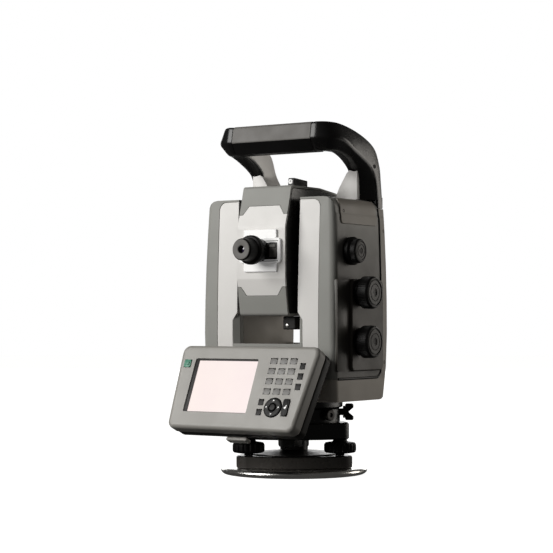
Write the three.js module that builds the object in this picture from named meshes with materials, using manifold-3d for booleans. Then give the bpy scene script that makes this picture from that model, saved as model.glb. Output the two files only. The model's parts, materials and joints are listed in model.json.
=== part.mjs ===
// Robotic surveying total station, standing on its tribrach and a tripod head plate.
// Millimetres. +Z is the standing axis, -Y is the side of the eyepiece and the control unit,
// and z = 0 is the underside of the head plate.
import * as THREE from 'three';
import { mergeVertices } from 'three/addons/utils/BufferGeometryUtils.js';
import Module from 'manifold-3d';

const wasm = await Module();
wasm.setup();

// --- driving dimensions -------------------------------------------------------------------

const GAP = 0.3; // clearance left between pieces that touch
const HOLE_PLAY = 0.4; // clearance round a key or a shaft in its hole
const BEYOND = 110; // a sideways distance from the axis that is past every wall
const ABOVE = 420; // a height that is over everything

const head = { radius: 84, height: 8, hole: 30, edge: 3 };
const thread = { radius: 7.9, height: 20, washer: 4 }; // the 5/8 inch fixing screw

const tribrach = {
  turn: 3.5, // degrees from +X to the first footscrew
  screwCircle: 60,
  plateLow: head.height + GAP,
  plateHigh: 22.5,
  bodyLow: 41,
  lobeHigh: 60,
  bodyHigh: 76,
  ring: 53,
  socket: 36,
  plug: 61.7, // lower end of the socket and of the instrument's plug in it
  base: { centre: 56, corner: 17.5, side: 57 },
  lobes: { centre: 58, corner: 12, side: 54 },
};
const level = { circle: 61.5, radius: 7.5, height: 6.5 };
const footscrew = { radius: 18.3, low: 25, high: 38, spindle: 5, collar: 8, flutes: 12 };
const wing = { azimuth: 33.5, height: 70.5, near: 59, far: 68.5, reach: 9.6, shaft: 4, notch: 6 };
const plummet = { azimuth: -13.5, height: 69, radius: 6.5, reach: 61 };

const foot = { low: tribrach.bodyHigh + GAP, high: 84.7, radius: 56 };
const axle = { radius: 15, low: 62.3, high: 119, bearing: 24, bearingHigh: 99 };

const standards = {
  low: 85,
  high: 314,
  halfWidth: 90.1,
  front: 56.5,
  back: 62.2,
  widest: 150, // height at which the outer form is widest
  deepest: 190, // height at which its back stands out most
  inner: 40.6, // half the gap between the two standards
  saddle: 149.5,
  topCorner: 14,
  capRise: 1.4, // how far the top caps stand out of the walls
};
const seam = { side: 68.5, back: 45, low: 111, inset: 81, top: 305, face: 44 };
const trim = { halfWidth: 46.8, low: 128, shoulder: 176, peak: [30, 200] };
const cap = { low: [-40, 284], high: [38, 318], inset: 81.6 };
const door = { low: [-27, 124], high: [29, 228], inset: 84.6, rise: 0.5, latchDrop: 16 };

const scope = {
  axis: 254.4, // height of the trunnion axis
  halfWidth: 32.4,
  skin: 0.958, // inner outline of the covers as a part of their outer one
  clearance: 113.5, // radius that the turning telescope needs
  trunnion: 14,
  bearing: 22,
  halfHeight: 73.5,
};
const eyepiece = { tube: 12.5, ring: 16.5, cup: 11.9, face: 108 };
const lens = { bore: 24.5, tube: 27, near: 52, far: 92 };

const grip = {
  halfWidth: 53.4, top: 399, bottom: 367, front: 50, bar: { low: [-43, 373], high: [-25, 389] },
};
const handle = { halfWidth: 84.8, cornerRadius: 28, back: 61, low: 305, footFront: 22.4, wall: 314.3 };

const panel = {
  tilt: 24, // degrees that the control unit leans back
  centre: [0, -105, 101],
  low: -49,
  high: 51.5,
  topEnds: [-96, 90],
  bottomEnds: [-90.5, 78],
  front: 17, // depth of the front case
  depth: 29, // depth of both cases together
  wall: 3,
};
const keypad = {
  x: 33.2, y: 33.1, rows: 4, columns: 3, stepX: 12.9, stepY: 12, width: 8.6, height: 6.4,
  rise: 1.5, mat: -8, matThickness: 1.5, matRim: 1.4,
};
const darkKey = { width: 6.4, height: 6.8 };
const darkKeys = {
  side_keys: [[72, 27.5], [72, 15.4], [72, 3.2]],
  lower_keys: [[29.2, -15.6], [29.2, -27.3]],
};
const dpad = { x: 46.2, y: -21.6, radius: 11.4 };
const enter = { x: 62.6, y: -21.3, width: 7.4, height: 19.6 };
const power = { x: -83.2, y: 28.5, width: 9, height: 9, rise: 0.9 };
const screen = { low: [-73.3, -29.4], high: [12.3, 35], depth: 3.2, glass: 1.4, ledge: 3 };

const knobPad = { low: [-27, 119], high: [43, 222], inset: 83.9, face: 94.5, bore: 6 };
const tangent = { y: -11, heights: [207, 152], radius: 18.2, face: 115 };
const focus = { y: -23, drop: 1, base: 89.6 };
const rear = { face: 67, window: [-34, 100, 12, 124], key: [26, 0, 112], keyRadius: 5 };

const colour = {
  black: 0x17181a,
  dark: 0x2a2a2b,
  medium: 0x95968f,
  light: 0xd2d0cc,
  brownGrey: 0x6b645e,
  casing: 0xa29e9a,
  white: 0xf4f4f2,
  metal: 0xc9c8c4,
  glass: 0x2b3440,
  display: 0xfbeee9,
  green: 0x3c9a80,
};

// --- solids from three.js geometries --------------------------------------------------------

function solidOf(geometry) {
  const bare = geometry.clone();
  bare.deleteAttribute('normal');
  bare.deleteAttribute('uv');
  const welded = mergeVertices(bare, 1e-4);
  const corners = welded.index.array;
  const faces = [];
  for (let i = 0; i < corners.length; i += 3) {
    const [a, b, c] = [corners[i], corners[i + 1], corners[i + 2]];
    if (a !== b && b !== c && c !== a) {
      faces.push(a, b, c);
    }
  }
  return new wasm.Manifold(new wasm.Mesh({
    numProp: 3,
    vertProperties: new Float32Array(welded.attributes.position.array),
    triVerts: new Uint32Array(faces),
  }));
}

function geometryOf(solid) {
  const mesh = solid.getMesh();
  const geometry = new THREE.BufferGeometry();
  geometry.setAttribute('position', new THREE.BufferAttribute(mesh.vertProperties, 3));
  geometry.setIndex(new THREE.BufferAttribute(mesh.triVerts, 1));
  geometry.computeVertexNormals();
  return geometry;
}

function join(first, ...others) {
  return others.reduce((sum, solid) => sum.add(solid), first);
}

function cut(first, ...others) {
  return others.reduce((rest, solid) => rest.subtract(solid), first);
}

const radians = THREE.MathUtils.degToRad;
const X = new THREE.Vector3(1, 0, 0);
const Y = new THREE.Vector3(0, 1, 0);
const Z = new THREE.Vector3(0, 0, 1);

// An outline of corners [a, b, radius], each rounded by its radius.
function outline(corners) {
  const shape = new THREE.Shape();
  const count = corners.length;
  corners.forEach(([a, b, radius = 0], i) => {
    const here = new THREE.Vector2(a, b);
    const before = new THREE.Vector2(...corners[(i + count - 1) % count]);
    const after = new THREE.Vector2(...corners[(i + 1) % count]);
    const into = here.clone().sub(before).normalize();
    const out = after.sub(here).normalize();
    const turn = Math.acos(THREE.MathUtils.clamp(into.dot(out), -1, 1));
    const reach = radius * Math.tan(turn / 2);
    const handle = reach - (4 / 3) * radius * Math.tan(turn / 4);
    const start = here.clone().addScaledVector(into, -reach);
    const end = here.clone().addScaledVector(out, reach);
    const pull = here.clone().addScaledVector(into, -handle);
    const push = here.clone().addScaledVector(out, handle);
    if (i === 0) {
      shape.moveTo(start.x, start.y);
    } else {
      shape.lineTo(start.x, start.y);
    }
    if (radius > 0) {
      shape.bezierCurveTo(pull.x, pull.y, push.x, push.y, end.x, end.y);
    }
  });
  shape.closePath();
  return shape;
}

function rectangle(a0, b0, a1, b1, radius = 0) {
  return outline([[a0, b0, radius], [a1, b0, radius], [a1, b1, radius], [a0, b1, radius]]);
}

// The other half of an outline that is symmetric about its first coordinate.
function mirrored(corners) {
  const left = corners.map(([a, b, radius]) => [-a, b, radius]).reverse();
  return outline([...corners, ...left]);
}

const BASIS = {
  x: new THREE.Matrix4().makeBasis(Y, Z, X),
  y: new THREE.Matrix4().makeBasis(X, Z, Y.clone().negate()),
  z: new THREE.Matrix4(),
};

// A shape extruded from low to high along an axis. On x it is drawn in (y, z), on y in (x, z)
// and on z in (x, y). The bevel rounds both ends.
function prism(shape, axis, low, high, { bevel = 0, bevelSteps = 1, curve = 4 } = {}) {
  const geometry = new THREE.ExtrudeGeometry(shape, {
    depth: high - low - 2 * bevel,
    curveSegments: curve,
    bevelEnabled: bevel > 0,
    bevelThickness: bevel,
    bevelSize: bevel,
    bevelOffset: -bevel,
    bevelSegments: bevelSteps,
  });
  geometry.translate(0, 0, axis === 'y' ? bevel - high : low + bevel);
  geometry.applyMatrix4(BASIS[axis]);
  return solidOf(geometry);
}

function block(low, high) {
  const size = high.map((value, i) => value - low[i]);
  const geometry = new THREE.BoxGeometry(...size);
  geometry.translate(...low.map((value, i) => value + size[i] / 2));
  return solidOf(geometry);
}

// The same solid on the other side of the station.
function acrossX(solid) {
  return solid.mirror([1, 0, 0]);
}

// A turned piece. The profile holds [radius, height] and runs up its outer side.
function turned(profile, axis = 'z', segments = 28) {
  const points = profile.map(([radius, height]) => new THREE.Vector2(radius, height));
  const geometry = new THREE.LatheGeometry(points, segments);
  if (axis === 'z') {
    geometry.rotateX(Math.PI / 2);
  } else if (axis === 'x') {
    geometry.rotateZ(-Math.PI / 2);
  }
  return solidOf(geometry);
}

function rod(radius, low, high, axis = 'z', segments = 24) {
  return turned([[0, low], [radius, low], [radius, high], [0, high]], axis, segments);
}

// A turned ring, from its inner radius to its outer one.
function ring(inner, outer, low, high, axis = 'z', segments = 24) {
  return turned([[inner, low], [outer, low], [outer, high], [inner, high], [inner, low]], axis, segments);
}

// A round outline with shallow flutes for the fingers.
function fluted(radius, flutes, depth) {
  const shape = new THREE.Shape();
  const steps = flutes * 3;
  for (let i = 0; i < steps; i += 1) {
    const angle = (i / steps) * 2 * Math.PI;
    const reach = radius - (i % 3 === 2 ? depth : 0);
    shape[i === 0 ? 'moveTo' : 'lineTo'](reach * Math.cos(angle), reach * Math.sin(angle));
  }
  shape.closePath();
  return shape;
}

// --- scene graph ---------------------------------------------------------------------------

const station = new THREE.Group();

function add(name, solid, paint, { roughness = 0.5, metalness = 0, parent = station } = {}) {
  const material = new THREE.MeshStandardMaterial({ color: paint, roughness, metalness });
  const mesh = new THREE.Mesh(geometryOf(solid), material);
  mesh.name = name;
  parent.add(mesh);
  return mesh;
}

const METAL = { roughness: 0.25, metalness: 1 };

// --- tripod head plate and fixing screw ------------------------------------------------------

function headPlate() {
  const { radius, height, hole, edge } = head;
  const rim = [];
  const steps = 2;
  for (const [centre, start] of [[edge, -90], [height - edge, 0]]) {
    for (let i = 0; i <= steps; i += 1) {
      const angle = radians(start + (i / steps) * 90);
      rim.push([radius - edge + edge * Math.cos(angle), centre + edge * Math.sin(angle)]);
    }
  }
  const profile = [[hole, 0], ...rim, [hole, height], [hole, 0]];
  add('head_plate', turned(profile, 'z', 48), colour.metal, METAL);
}

function fixingScrew() {
  const { radius, height, washer } = thread;
  const solid = turned([
    [0, 0], [head.hole - GAP, 0], [head.hole - GAP, washer], [radius, washer],
    [radius, height - 1], [radius - 1, height], [0, height],
  ]);
  add('fixing_screw', solid, colour.metal, METAL);
}

// --- tribrach --------------------------------------------------------------------------------

// A triangle with round corners and bulged sides. The corners lie on a circle of radius centre.
function trefoil({ centre, corner, side }) {
  const shape = new THREE.Shape();
  const spread = radians(56); // half the angle that each round corner spans
  for (let k = 0; k < 3; k += 1) {
    const angle = radians(tribrach.turn + 120 * k);
    const middle = angle + radians(60);
    const next = angle + radians(120);
    const [x, y] = [centre * Math.cos(angle), centre * Math.sin(angle)];
    shape.absarc(x, y, corner, angle - spread, angle + spread);
    const endX = centre * Math.cos(next) + corner * Math.cos(next - spread);
    const endY = centre * Math.sin(next) + corner * Math.sin(next - spread);
    const chord = centre * 0.5 + corner * Math.cos(radians(60) - spread);
    const pull = 2 * side - chord;
    shape.quadraticCurveTo(pull * Math.cos(middle), pull * Math.sin(middle), endX, endY);
  }
  return shape;
}

function tribrachPlates() {
  const { base, plateLow, plateHigh } = tribrach;
  const plate = prism(trefoil(base), 'z', plateLow, plateHigh, { bevel: 1.2, curve: 5 });
  const bore = rod(thread.radius + HOLE_PLAY, 0, plateHigh + 5);
  add('tribrach_base_plate', cut(plate, bore), colour.black, { roughness: 0.45 });
  const low = plateHigh + GAP;
  const spring = turned([
    [0, low], [51, low], [51, low + 0.9], [38, low + 1.6], [18, low + 3.6], [0, low + 4.4],
  ]);
  add('tribrach_spring_plate', spring, colour.dark, { roughness: 0.35, metalness: 0.6 });
}

function tribrachBody() {
  const { bodyLow, lobeHigh, bodyHigh, socket, ring: collarRadius, plug } = tribrach;
  const chamfer = 1.5;
  const overlap = 2; // how far the joined forms reach into each other
  const lobes = prism(trefoil(tribrach.lobes), 'z', bodyLow, lobeHigh, { bevel: chamfer, curve: 5 });
  const collar = turned([
    [0, lobeHigh - overlap], [collarRadius, lobeHigh - overlap], [collarRadius, bodyHigh - chamfer],
    [collarRadius - chamfer, bodyHigh], [0, bodyHigh],
  ], 'z', 36);
  const centre = rod(16, tribrach.plateHigh + 5, bodyLow + overlap, 'z', 20);
  const lug = block([12, -38, 33], [25, -22, bodyLow + overlap]);
  const bore = rod(socket, plug, bodyHigh + 5, 'z', 36);
  const shaft = rod(wing.shaft + HOLE_PLAY, 40, 80, 'x', 20)
    .translate(0, 0, wing.height)
    .rotate([0, 0, wing.azimuth]);
  add('tribrach_body', cut(join(lobes, collar, centre, lug), bore, shaft), colour.black);
}

function circularLevel() {
  const { circle, radius, height } = level;
  const angle = radians(tribrach.turn + 120);
  const low = tribrach.lobeHigh + GAP;
  const solid = turned([
    [0, low], [radius, low], [radius, low + height - 2], [radius - 0.7, low + height - 1.3],
    [radius - 3.5, low + height - 0.3], [0, low + height],
  ], 'z', 24);
  const mesh = add('circular_level', solid, colour.glass, { roughness: 0.15 });
  mesh.position.set(circle * Math.cos(angle), circle * Math.sin(angle), 0);
}

function footscrews() {
  const { radius, low, high, spindle, collar, flutes } = footscrew;
  const knob = prism(fluted(radius, flutes, 1.3), 'z', low, high, { bevel: 1.6 });
  const stem = rod(spindle, tribrach.plateHigh + GAP, low + 2, 'z', 16);
  const neck = rod(collar, high - 2, tribrach.bodyLow - GAP, 'z', 20);
  const screw = join(knob, stem, neck);
  for (let k = 0; k < 3; k += 1) {
    const angle = radians(tribrach.turn + 120 * k);
    const mesh = add(`footscrew_${k + 1}`, screw, colour.black, { roughness: 0.55 });
    mesh.position.set(tribrach.screwCircle * Math.cos(angle), tribrach.screwCircle * Math.sin(angle), 0);
  }
}

// A wing knob on a cross shaft. The notch between its two wings opens outwards.
function clampKnob() {
  const { azimuth, height, near, far, reach, shaft: shaftRadius, notch } = wing;
  const shaft = rod(shaftRadius, 45, near, 'x', 16);
  const half = [[3.2, 2, 1.5], [5.2, reach, 2.5], [-5.2, reach, 2.5], [-3.2, 2, 1.5]];
  const lower = half.map(([y, z, radius]) => [-y, -z, radius]);
  const wings = prism(outline([...half, ...lower]), 'x', near, far, { bevel: 1.2, curve: 3 });
  const notchRoom = outline([[far - notch, 0, 1], [far + 1, -notch], [far + 1, notch]]);
  const hub = rod(7, foot.radius + 0.5, near + 1, 'x', 20);
  const solid = join(shaft, hub, cut(wings, prism(notchRoom, 'y', -reach, reach)));
  const mesh = add('clamp_knob', solid, colour.black);
  mesh.position.z = height;
  mesh.rotation.z = radians(azimuth);
}

function plummetEyepiece() {
  const { azimuth, height, radius, reach } = plummet;
  const start = tribrach.ring + GAP;
  const solid = turned([
    [0, start], [radius - 1, start], [radius - 1, start + 3], [radius, start + 3.4], [radius, reach - 0.8],
    [radius - 0.8, reach], [2.5, reach], [2.5, reach - 2], [0, reach - 2],
  ], 'x', 24);
  const mesh = add('plummet_eyepiece', solid, colour.dark, { roughness: 0.4 });
  mesh.position.z = height;
  mesh.rotation.z = radians(azimuth);
}

// --- instrument foot and vertical axis --------------------------------------------------------

function instrumentFoot() {
  const { low, high, radius } = foot;
  const plug = tribrach.socket - HOLE_PLAY;
  const solid = turned([
    [0, axle.low], [plug, axle.low], [plug, low], [radius - 1, low], [radius, low + 1],
    [radius, high - 1], [radius - 1, high], [axle.radius, high], [axle.radius, axle.high - 1],
    [axle.radius - 1, axle.high], [0, axle.high],
  ], 'z', 36);
  add('instrument_foot', solid, colour.black, { roughness: 0.45 });
  const height = (low + high) / 2;
  const socket = turned([
    [0, radius + GAP], [3.7, radius + GAP], [3.7, radius + 5], [2.8, radius + 5.6],
    [2, radius + 5.6], [2, radius + 3], [0, radius + 3],
  ], 'y', 24).translate(0, 0, height);
  add('power_connector', socket, colour.metal, { roughness: 0.35, metalness: 0.9 });
  const { bearing, bearingHigh } = axle;
  add('azimuth_bearing', ring(axle.radius + HOLE_PLAY, bearing, 86, bearingHigh), colour.metal, METAL);
}

// --- the two standards ---------------------------------------------------------------------------

// How far an outline has drawn in at height z, from nothing at start to amount at end.
function drawIn(z, start, end, amount) {
  const part = (z - start) / (end - start);
  return part > 0 ? amount * part * part : 0;
}

// The outer form of both standards together: it swells in the middle and draws in at both ends.
function envelope(grow = 0) {
  const { low, high, halfWidth, front, back, widest, deepest, topCorner } = standards;
  const plan = outline([
    [-halfWidth, -front, 8], [halfWidth, -front, 8], [halfWidth, back, 5], [-halfWidth, back, 5],
  ]);
  const geometry = new THREE.ExtrudeGeometry(plan, {
    depth: high - low, steps: 6, curveSegments: 4, bevelEnabled: false,
  });
  geometry.translate(0, 0, low);
  const place = geometry.attributes.position;
  for (let i = 0; i < place.count; i += 1) {
    const z = place.getZ(i);
    const wide = halfWidth - drawIn(z, widest, high, 3.8) - drawIn(z, widest, low, 3.6) + grow;
    const ahead = front - drawIn(z, widest, high, 5) - drawIn(z, widest, low, 6.5) + grow;
    const behind = back - drawIn(z, deepest, high, 2.8) - drawIn(z, deepest, low, 4.2) + grow;
    const y = place.getY(i);
    place.setX(i, place.getX(i) * (wide / halfWidth));
    place.setY(i, y < 0 ? y * (ahead / front) : y * (behind / back));
  }
  const face = mirrored([
    [halfWidth - 3 + grow, low - grow, 4], [halfWidth + 4, low + 8, 0], [halfWidth + 4, high - 40, 0],
    [halfWidth - 4 + grow, high - 18, 8], [halfWidth - 5 + grow, high + grow, topCorner],
  ]);
  const flank = outline([
    [4 - front - grow, low - grow, 6], [back - 3 + grow, low - grow, 13], [back + 12, high + 40],
    [-front - 12, high + 40],
  ]);
  return solidOf(geometry)
    .intersect(prism(face, 'y', -BEYOND, BEYOND))
    .intersect(prism(flank, 'x', -BEYOND, BEYOND));
}

// The gap between the standards, with the round bed that the telescope turns in.
function yokeGap() {
  const { inner, saddle, high } = standards;
  const slot = prism(outline([
    [-inner, saddle], [inner, saddle], [inner + 1, high + 20], [-inner - 1, high + 20],
  ]), 'y', -BEYOND, BEYOND);
  const bed = rod(scope.clearance, -inner, inner, 'x', 90).translate(0, 0, scope.axis);
  return join(slot, bed);
}

// The room of one light front panel, on the right for side 1 and on the left for side -1.
function frontPanelRoom(side, gap = 0) {
  const { halfWidth, shoulder, peak } = trim;
  const low = seam.low + 1 - gap;
  const high = 311.5 + gap;
  const step = GAP - gap;
  const corners = [
    [peak[0], high], [peak[0], peak[1] + step], [halfWidth + step, shoulder + step],
    [halfWidth + step, low], [seam.side + gap, low, 2], [seam.side + gap, high, 9],
  ].map(([x, z, radius]) => [side * x, z, radius]);
  return prism(outline(side > 0 ? corners : corners.reverse()), 'y', -BEYOND, gap - seam.face);
}

function sideCoverRoom(side, gap = 0) {
  const { inset, back, low, top, face } = seam;
  const plate = rectangle(-BEYOND, low - gap, back + gap, ABOVE, 8);
  const flank = prism(plate, 'x', inset - gap, BEYOND);
  const wrap = block([seam.side + GAP - gap, -BEYOND, low - gap], [BEYOND, gap - face, ABOVE]);
  const roof = block([20, -BEYOND, top - gap], [BEYOND, back + gap, ABOVE]);
  const room = join(flank, wrap, roof);
  return side > 0 ? room : acrossX(room);
}

function trimRoom(gap = 0) {
  const { halfWidth, low, shoulder, peak } = trim;
  const face = outline([
    [-halfWidth - gap, low - gap, 3], [halfWidth + gap, low - gap, 3],
    [halfWidth + gap, shoulder + gap], [peak[0], peak[1] + gap], [-peak[0], peak[1] + gap],
    [-halfWidth - gap, shoulder + gap],
  ]);
  return prism(face, 'y', -BEYOND, gap - seam.face);
}

// A flat lid in the outer wall, drawn in (y, z) on the right side and mirrored for the left.
function lidRoom(side, { low, high, inset }, gap, radius) {
  const face = rectangle(low[0] - gap, low[1] - gap, high[0] + gap, high[1] + gap, radius);
  const room = prism(face, 'x', inset - gap, BEYOND);
  return side > 0 ? room : acrossX(room);
}

// The metal yoke: a base with the bed and the bores, and a standard on each side of it.
function yoke(body) {
  const { inner, back } = standards;
  const bearingSeat = rod(scope.bearing + 0.6, -62, 62, 'x').translate(0, 0, scope.axis);
  const axleBore = rod(axle.radius + 2 * HOLE_PLAY, 0, axle.high + 2);
  const bearingBore = rod(axle.bearing + 2 * GAP, 0, axle.bearingHigh + GAP);
  const batteryBay = block([-BEYOND, -23, 127], [-57, 25, 224]);
  const stepBack = block([-BEYOND, seam.back, handle.low - 0.4], [BEYOND, BEYOND, ABOVE]);
  const frame = cut(
    body,
    frontPanelRoom(1, GAP), frontPanelRoom(-1, GAP),
    sideCoverRoom(1, GAP), sideCoverRoom(-1, GAP), trimRoom(GAP),
    bearingSeat, axleBore, bearingBore, batteryBay, stepBack,
  );
  const baseRoom = block([GAP - inner, -BEYOND, 0], [inner - GAP, back + BEYOND, standards.saddle + 5]);
  const rightRoom = block([inner, -BEYOND, 0], [2 * BEYOND, BEYOND, ABOVE]);
  const paint = { roughness: 0.55 };
  add('yoke_base', frame.intersect(baseRoom), colour.brownGrey, paint);
  add('standard_right', frame.intersect(rightRoom), colour.brownGrey, paint);
  add('standard_left', frame.intersect(acrossX(rightRoom)), colour.brownGrey, paint);
  const bearing = ring(scope.trunnion + GAP, scope.bearing, 42, 56, 'x').translate(0, 0, scope.axis);
  add('trunnion_bearing_right', bearing, colour.metal, METAL);
  add('trunnion_bearing_left', acrossX(bearing), colour.metal, METAL);
}

function frontCovers(body) {
  const paint = { roughness: 0.42 };
  add('front_panel_right', body.intersect(frontPanelRoom(1)), colour.light, paint);
  add('front_panel_left', body.intersect(frontPanelRoom(-1)), colour.light, paint);
  const { inner, saddle } = standards;
  const slope = outline([[inner - 1, -50], [inner + 8, -58], [inner - 1, -58]]);
  const chamfer = prism(slope, 'z', saddle, trim.peak[1] + 5);
  const trimSolid = cut(body.intersect(trimRoom()), chamfer, acrossX(chamfer));
  add('saddle_trim', trimSolid, colour.medium, { roughness: 0.45 });
}

function sideCovers(body) {
  const pad = lidRoom(1, { ...knobPad, inset: knobPad.inset - GAP }, GAP, 6);
  const doorRoom = lidRoom(-1, door, 0.8, 6);
  const slot = block([-BEYOND, -23, 129], [-70, 25, 223]);
  const behindSeam = block([-BEYOND, seam.back, 0], [BEYOND, BEYOND, ABOVE]);
  for (const side of [1, -1]) {
    const hand = side > 0 ? 'right' : 'left';
    const openings = side > 0 ? [pad] : [doorRoom, slot];
    const cover = cut(
      body.intersect(sideCoverRoom(side)),
      frontPanelRoom(side, GAP), lidRoom(side, cap, GAP, 4), behindSeam, ...openings,
    );
    add(`side_cover_${hand}`, cover, colour.medium, { roughness: 0.45 });
    const lid = cut(envelope(standards.capRise).intersect(lidRoom(side, cap, 0, 4)), yokeGap());
    add(`top_cap_${hand}`, lid, colour.brownGrey);
  }
}

function batteryAndDoor() {
  const battery = prism(rectangle(-22, 130, 24, 222, 4), 'x', -80.5, -58, { bevel: 1.5 });
  add('battery', battery, colour.dark, { roughness: 0.6 });
  const { low, high, inset, rise, latchDrop } = door;
  const latchY = (low[0] + high[0]) / 2;
  const latchZ = high[1] - latchDrop;
  const latchRadius = 8;
  const latchHole = rod(latchRadius + HOLE_PLAY, -100, -80, 'x', 32).translate(0, latchY, latchZ);
  const panelSolid = cut(envelope(rise).intersect(lidRoom(-1, door, 0, 6)), latchHole);
  add('battery_door', panelSolid, colour.brownGrey);
  const disc = rod(latchRadius, -91.6, -inset - GAP, 'x', 32);
  const bar = prism(rectangle(-7, -1.8, 7, 1.8, 1.7), 'x', -94.6, -91, { bevel: 0.8 });
  add('battery_latch', join(disc, bar).translate(0, latchY, latchZ), colour.black, { roughness: 0.45 });
}

// --- knobs on the right side ------------------------------------------------------------------------

function knobPanel() {
  const { low, high, inset, face, bore } = knobPad;
  const plate = prism(rectangle(...low, ...high, 6), 'x', inset, face, { bevel: 1.2 });
  const bores = tangent.heights.map((z) => (
    rod(bore + HOLE_PLAY, inset - 5, face + 5, 'x', 24).translate(0, tangent.y, z)
  ));
  add('knob_panel', cut(plate, ...bores), colour.brownGrey);
}

function tangentKnob(name, height) {
  const { radius, face, y } = tangent;
  const shaft = knobPad.bore;
  const near = knobPad.face + GAP;
  const barrel = 15.6;
  const wheel = 100.5; // where the barrel widens into the grip
  const dimple = 2.6;
  const solid = turned([
    [0, 85], [shaft, 85], [shaft, near], [barrel, near], [barrel, wheel], [radius, wheel + 1],
    [radius, face - 2.4], [radius - 3.4, face], [dimple, face], [dimple, face - 3], [0, face - 3],
  ], 'x', 28);
  add(name, solid.translate(0, y, height), colour.black, { roughness: 0.45 });
}

// The focus knob is lathed from radii at steps outwards from its base.
function focusKnob() {
  const { y, drop, base } = focus;
  const steps = [
    [0, 0], [15.5, 0], [15.9, 1], [15.9, 6], [13.6, 7], [13.6, 13], [12.6, 14.4], [8.6, 14.6],
    [8, 13.6], [2.6, 13.6], [2.2, 11.5], [0, 11.5],
  ];
  const solid = turned(steps.map(([radius, out]) => [radius, base + out]), 'x', 24);
  add('focus_knob', solid.translate(0, y, scope.axis - drop), colour.black, { roughness: 0.4 });
}

// --- rear display ------------------------------------------------------------------------------------

function rearDisplay() {
  const { face, window: [x0, z0, x1, z1], key: keyAt, keyRadius } = rear;
  const frame = prism(rectangle(-40, 94, 40, 130, 5), 'y', 52, face, { bevel: 1.2 });
  const window = prism(rectangle(x0, z0, x1, z1, 2), 'y', face - 2.6, BEYOND);
  const hole = rod(keyRadius + HOLE_PLAY, 40, BEYOND, 'y').translate(...keyAt);
  add('rear_display_frame', cut(frame, window, hole, envelope(GAP)), colour.dark);
  const key = turned([
    [0, face - 4], [keyRadius, face - 4], [keyRadius, face + 0.6], [keyRadius - 0.8, face + 1.4],
    [0, face + 1.6],
  ], 'y', 20);
  add('rear_key', key.translate(...keyAt), colour.black, { roughness: 0.6 });
}

// --- carry handle ------------------------------------------------------------------------------------

// Front side of the grip in (y, z), from its lower edge to its top.
const gripFront = [[-41, grip.bottom, 2.5], [-grip.front, 380, 5], [-46.5, grip.top, 5]];

function handleFoot(side, gap = 0) {
  const { wall, footFront } = handle;
  const low = wall - gap;
  const corners = [
    [42 - gap, low], [72.4 + gap, low], [72.4 + gap, 356 + gap, 3], [58 - gap, 346 + gap, 4],
    [46 - gap, 326, 5],
  ];
  const mirroredCorners = corners.map(([x, z, radius]) => [-x, z, radius]).reverse();
  const front = gap > 0 ? 0 : footFront; // the room for a foot is open at the front
  return prism(outline(side > 0 ? corners : mirroredCorners), 'y', front, seam.back + GAP + gap);
}

function carryHandle() {
  const { halfWidth, cornerRadius, back, low, wall } = handle;
  const inner = grip.halfWidth + GAP;
  // side view of an arm in (y, z)
  const arm = outline([
    [22, wall], [seam.back + GAP, wall], [seam.back + GAP, low], [back, low, 1.5], [59.3, 322, 30],
    [56.8, 360, 12], [51, 378, 14], [18, 391, 40], [-16, 397, 20], ...gripFront.slice().reverse(),
    [-20, grip.bottom, 4], [-12, 366, 6], [22, 350, 12],
  ]);
  // front view of an arm in (x, z)
  const face = outline([
    [41.6, 300], [halfWidth, 300, 2], [84, 330, 20], [82.5, 356, 20], [76, 388, 8],
    [70, grip.top + 1, 4], [inner, grip.top + 1], [inner, 362], [57.6, 346, 6], [46, 326, 8],
    [41.6, wall],
  ]);
  // plan view of an arm in (x, y)
  const plan = outline([
    [30, -grip.front - 0.5], [halfWidth, -grip.front - 0.5, cornerRadius], [halfWidth, back, 5], [30, back],
  ]);
  const form = prism(arm, 'x', 30, BEYOND)
    .intersect(prism(face, 'y', -BEYOND, BEYOND))
    .intersect(prism(plan, 'z', 0, ABOVE, { curve: 9 }));
  const arms = [cut(form, handleFoot(1, GAP)), cut(acrossX(form), handleFoot(-1, GAP))];
  const { low: barLow, high: barHigh } = grip.bar;
  const bar = prism(rectangle(...barLow, ...barHigh, 3), 'x', -inner - 6, inner + 6);
  add('handle_frame', join(arms[0], bar, arms[1]), colour.black);

  const sleeve = outline([
    [-20, grip.bottom, 4], ...gripFront, [-18, 397, 4], [-14.5, 376, 6],
  ].reverse());
  const bore = prism(rectangle(
    barLow[0] - GAP, barLow[1] - GAP, barHigh[0] + GAP, barHigh[1] + GAP, 3,
  ), 'x', -BEYOND, BEYOND);
  const sleeveSolid = cut(prism(sleeve, 'x', -grip.halfWidth, grip.halfWidth), bore);
  add('handle_grip', sleeveSolid, colour.brownGrey, { roughness: 0.65 });

  add('handle_foot_right', handleFoot(1), colour.light, { roughness: 0.42 });
  add('handle_foot_left', handleFoot(-1), colour.light, { roughness: 0.42 });
}

// --- telescope -----------------------------------------------------------------------------------------

const telescope = new THREE.Group();
telescope.position.z = scope.axis;
station.add(telescope);

// Side view of the telescope in (y, z) about the trunnion axis, with corner radii.
const tube = [
  [-55.5, scope.halfHeight, 4], [-61, 52, 20], [-68.5, 26, 16], [-68.5, -32, 16],
  [-66, -52, 20], [-62.5, -scope.halfHeight, 4],
  [48, -scope.halfHeight, 14], [71, -48, 14], [75, 0, 60],
  [71, 44, 14], [44, 69, 16], [4, scope.halfHeight, 60],
];

function tubePrism(scale, halfWidth) {
  const corners = tube.map(([y, z, radius]) => [y * scale, z * scale, radius * scale]);
  return prism(outline(corners), 'x', -halfWidth, halfWidth, { curve: 4 });
}

// The right half axle that carries the telescope, with the flange that fills the gap beside it.
function trunnion() {
  const near = scope.halfWidth - 1;
  return turned([
    [0, near], [24, near], [24, 38.4], [22.4, 39.8], [scope.trunnion, 39.8], [scope.trunnion, 58], [0, 58],
  ], 'x', 28);
}

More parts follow.
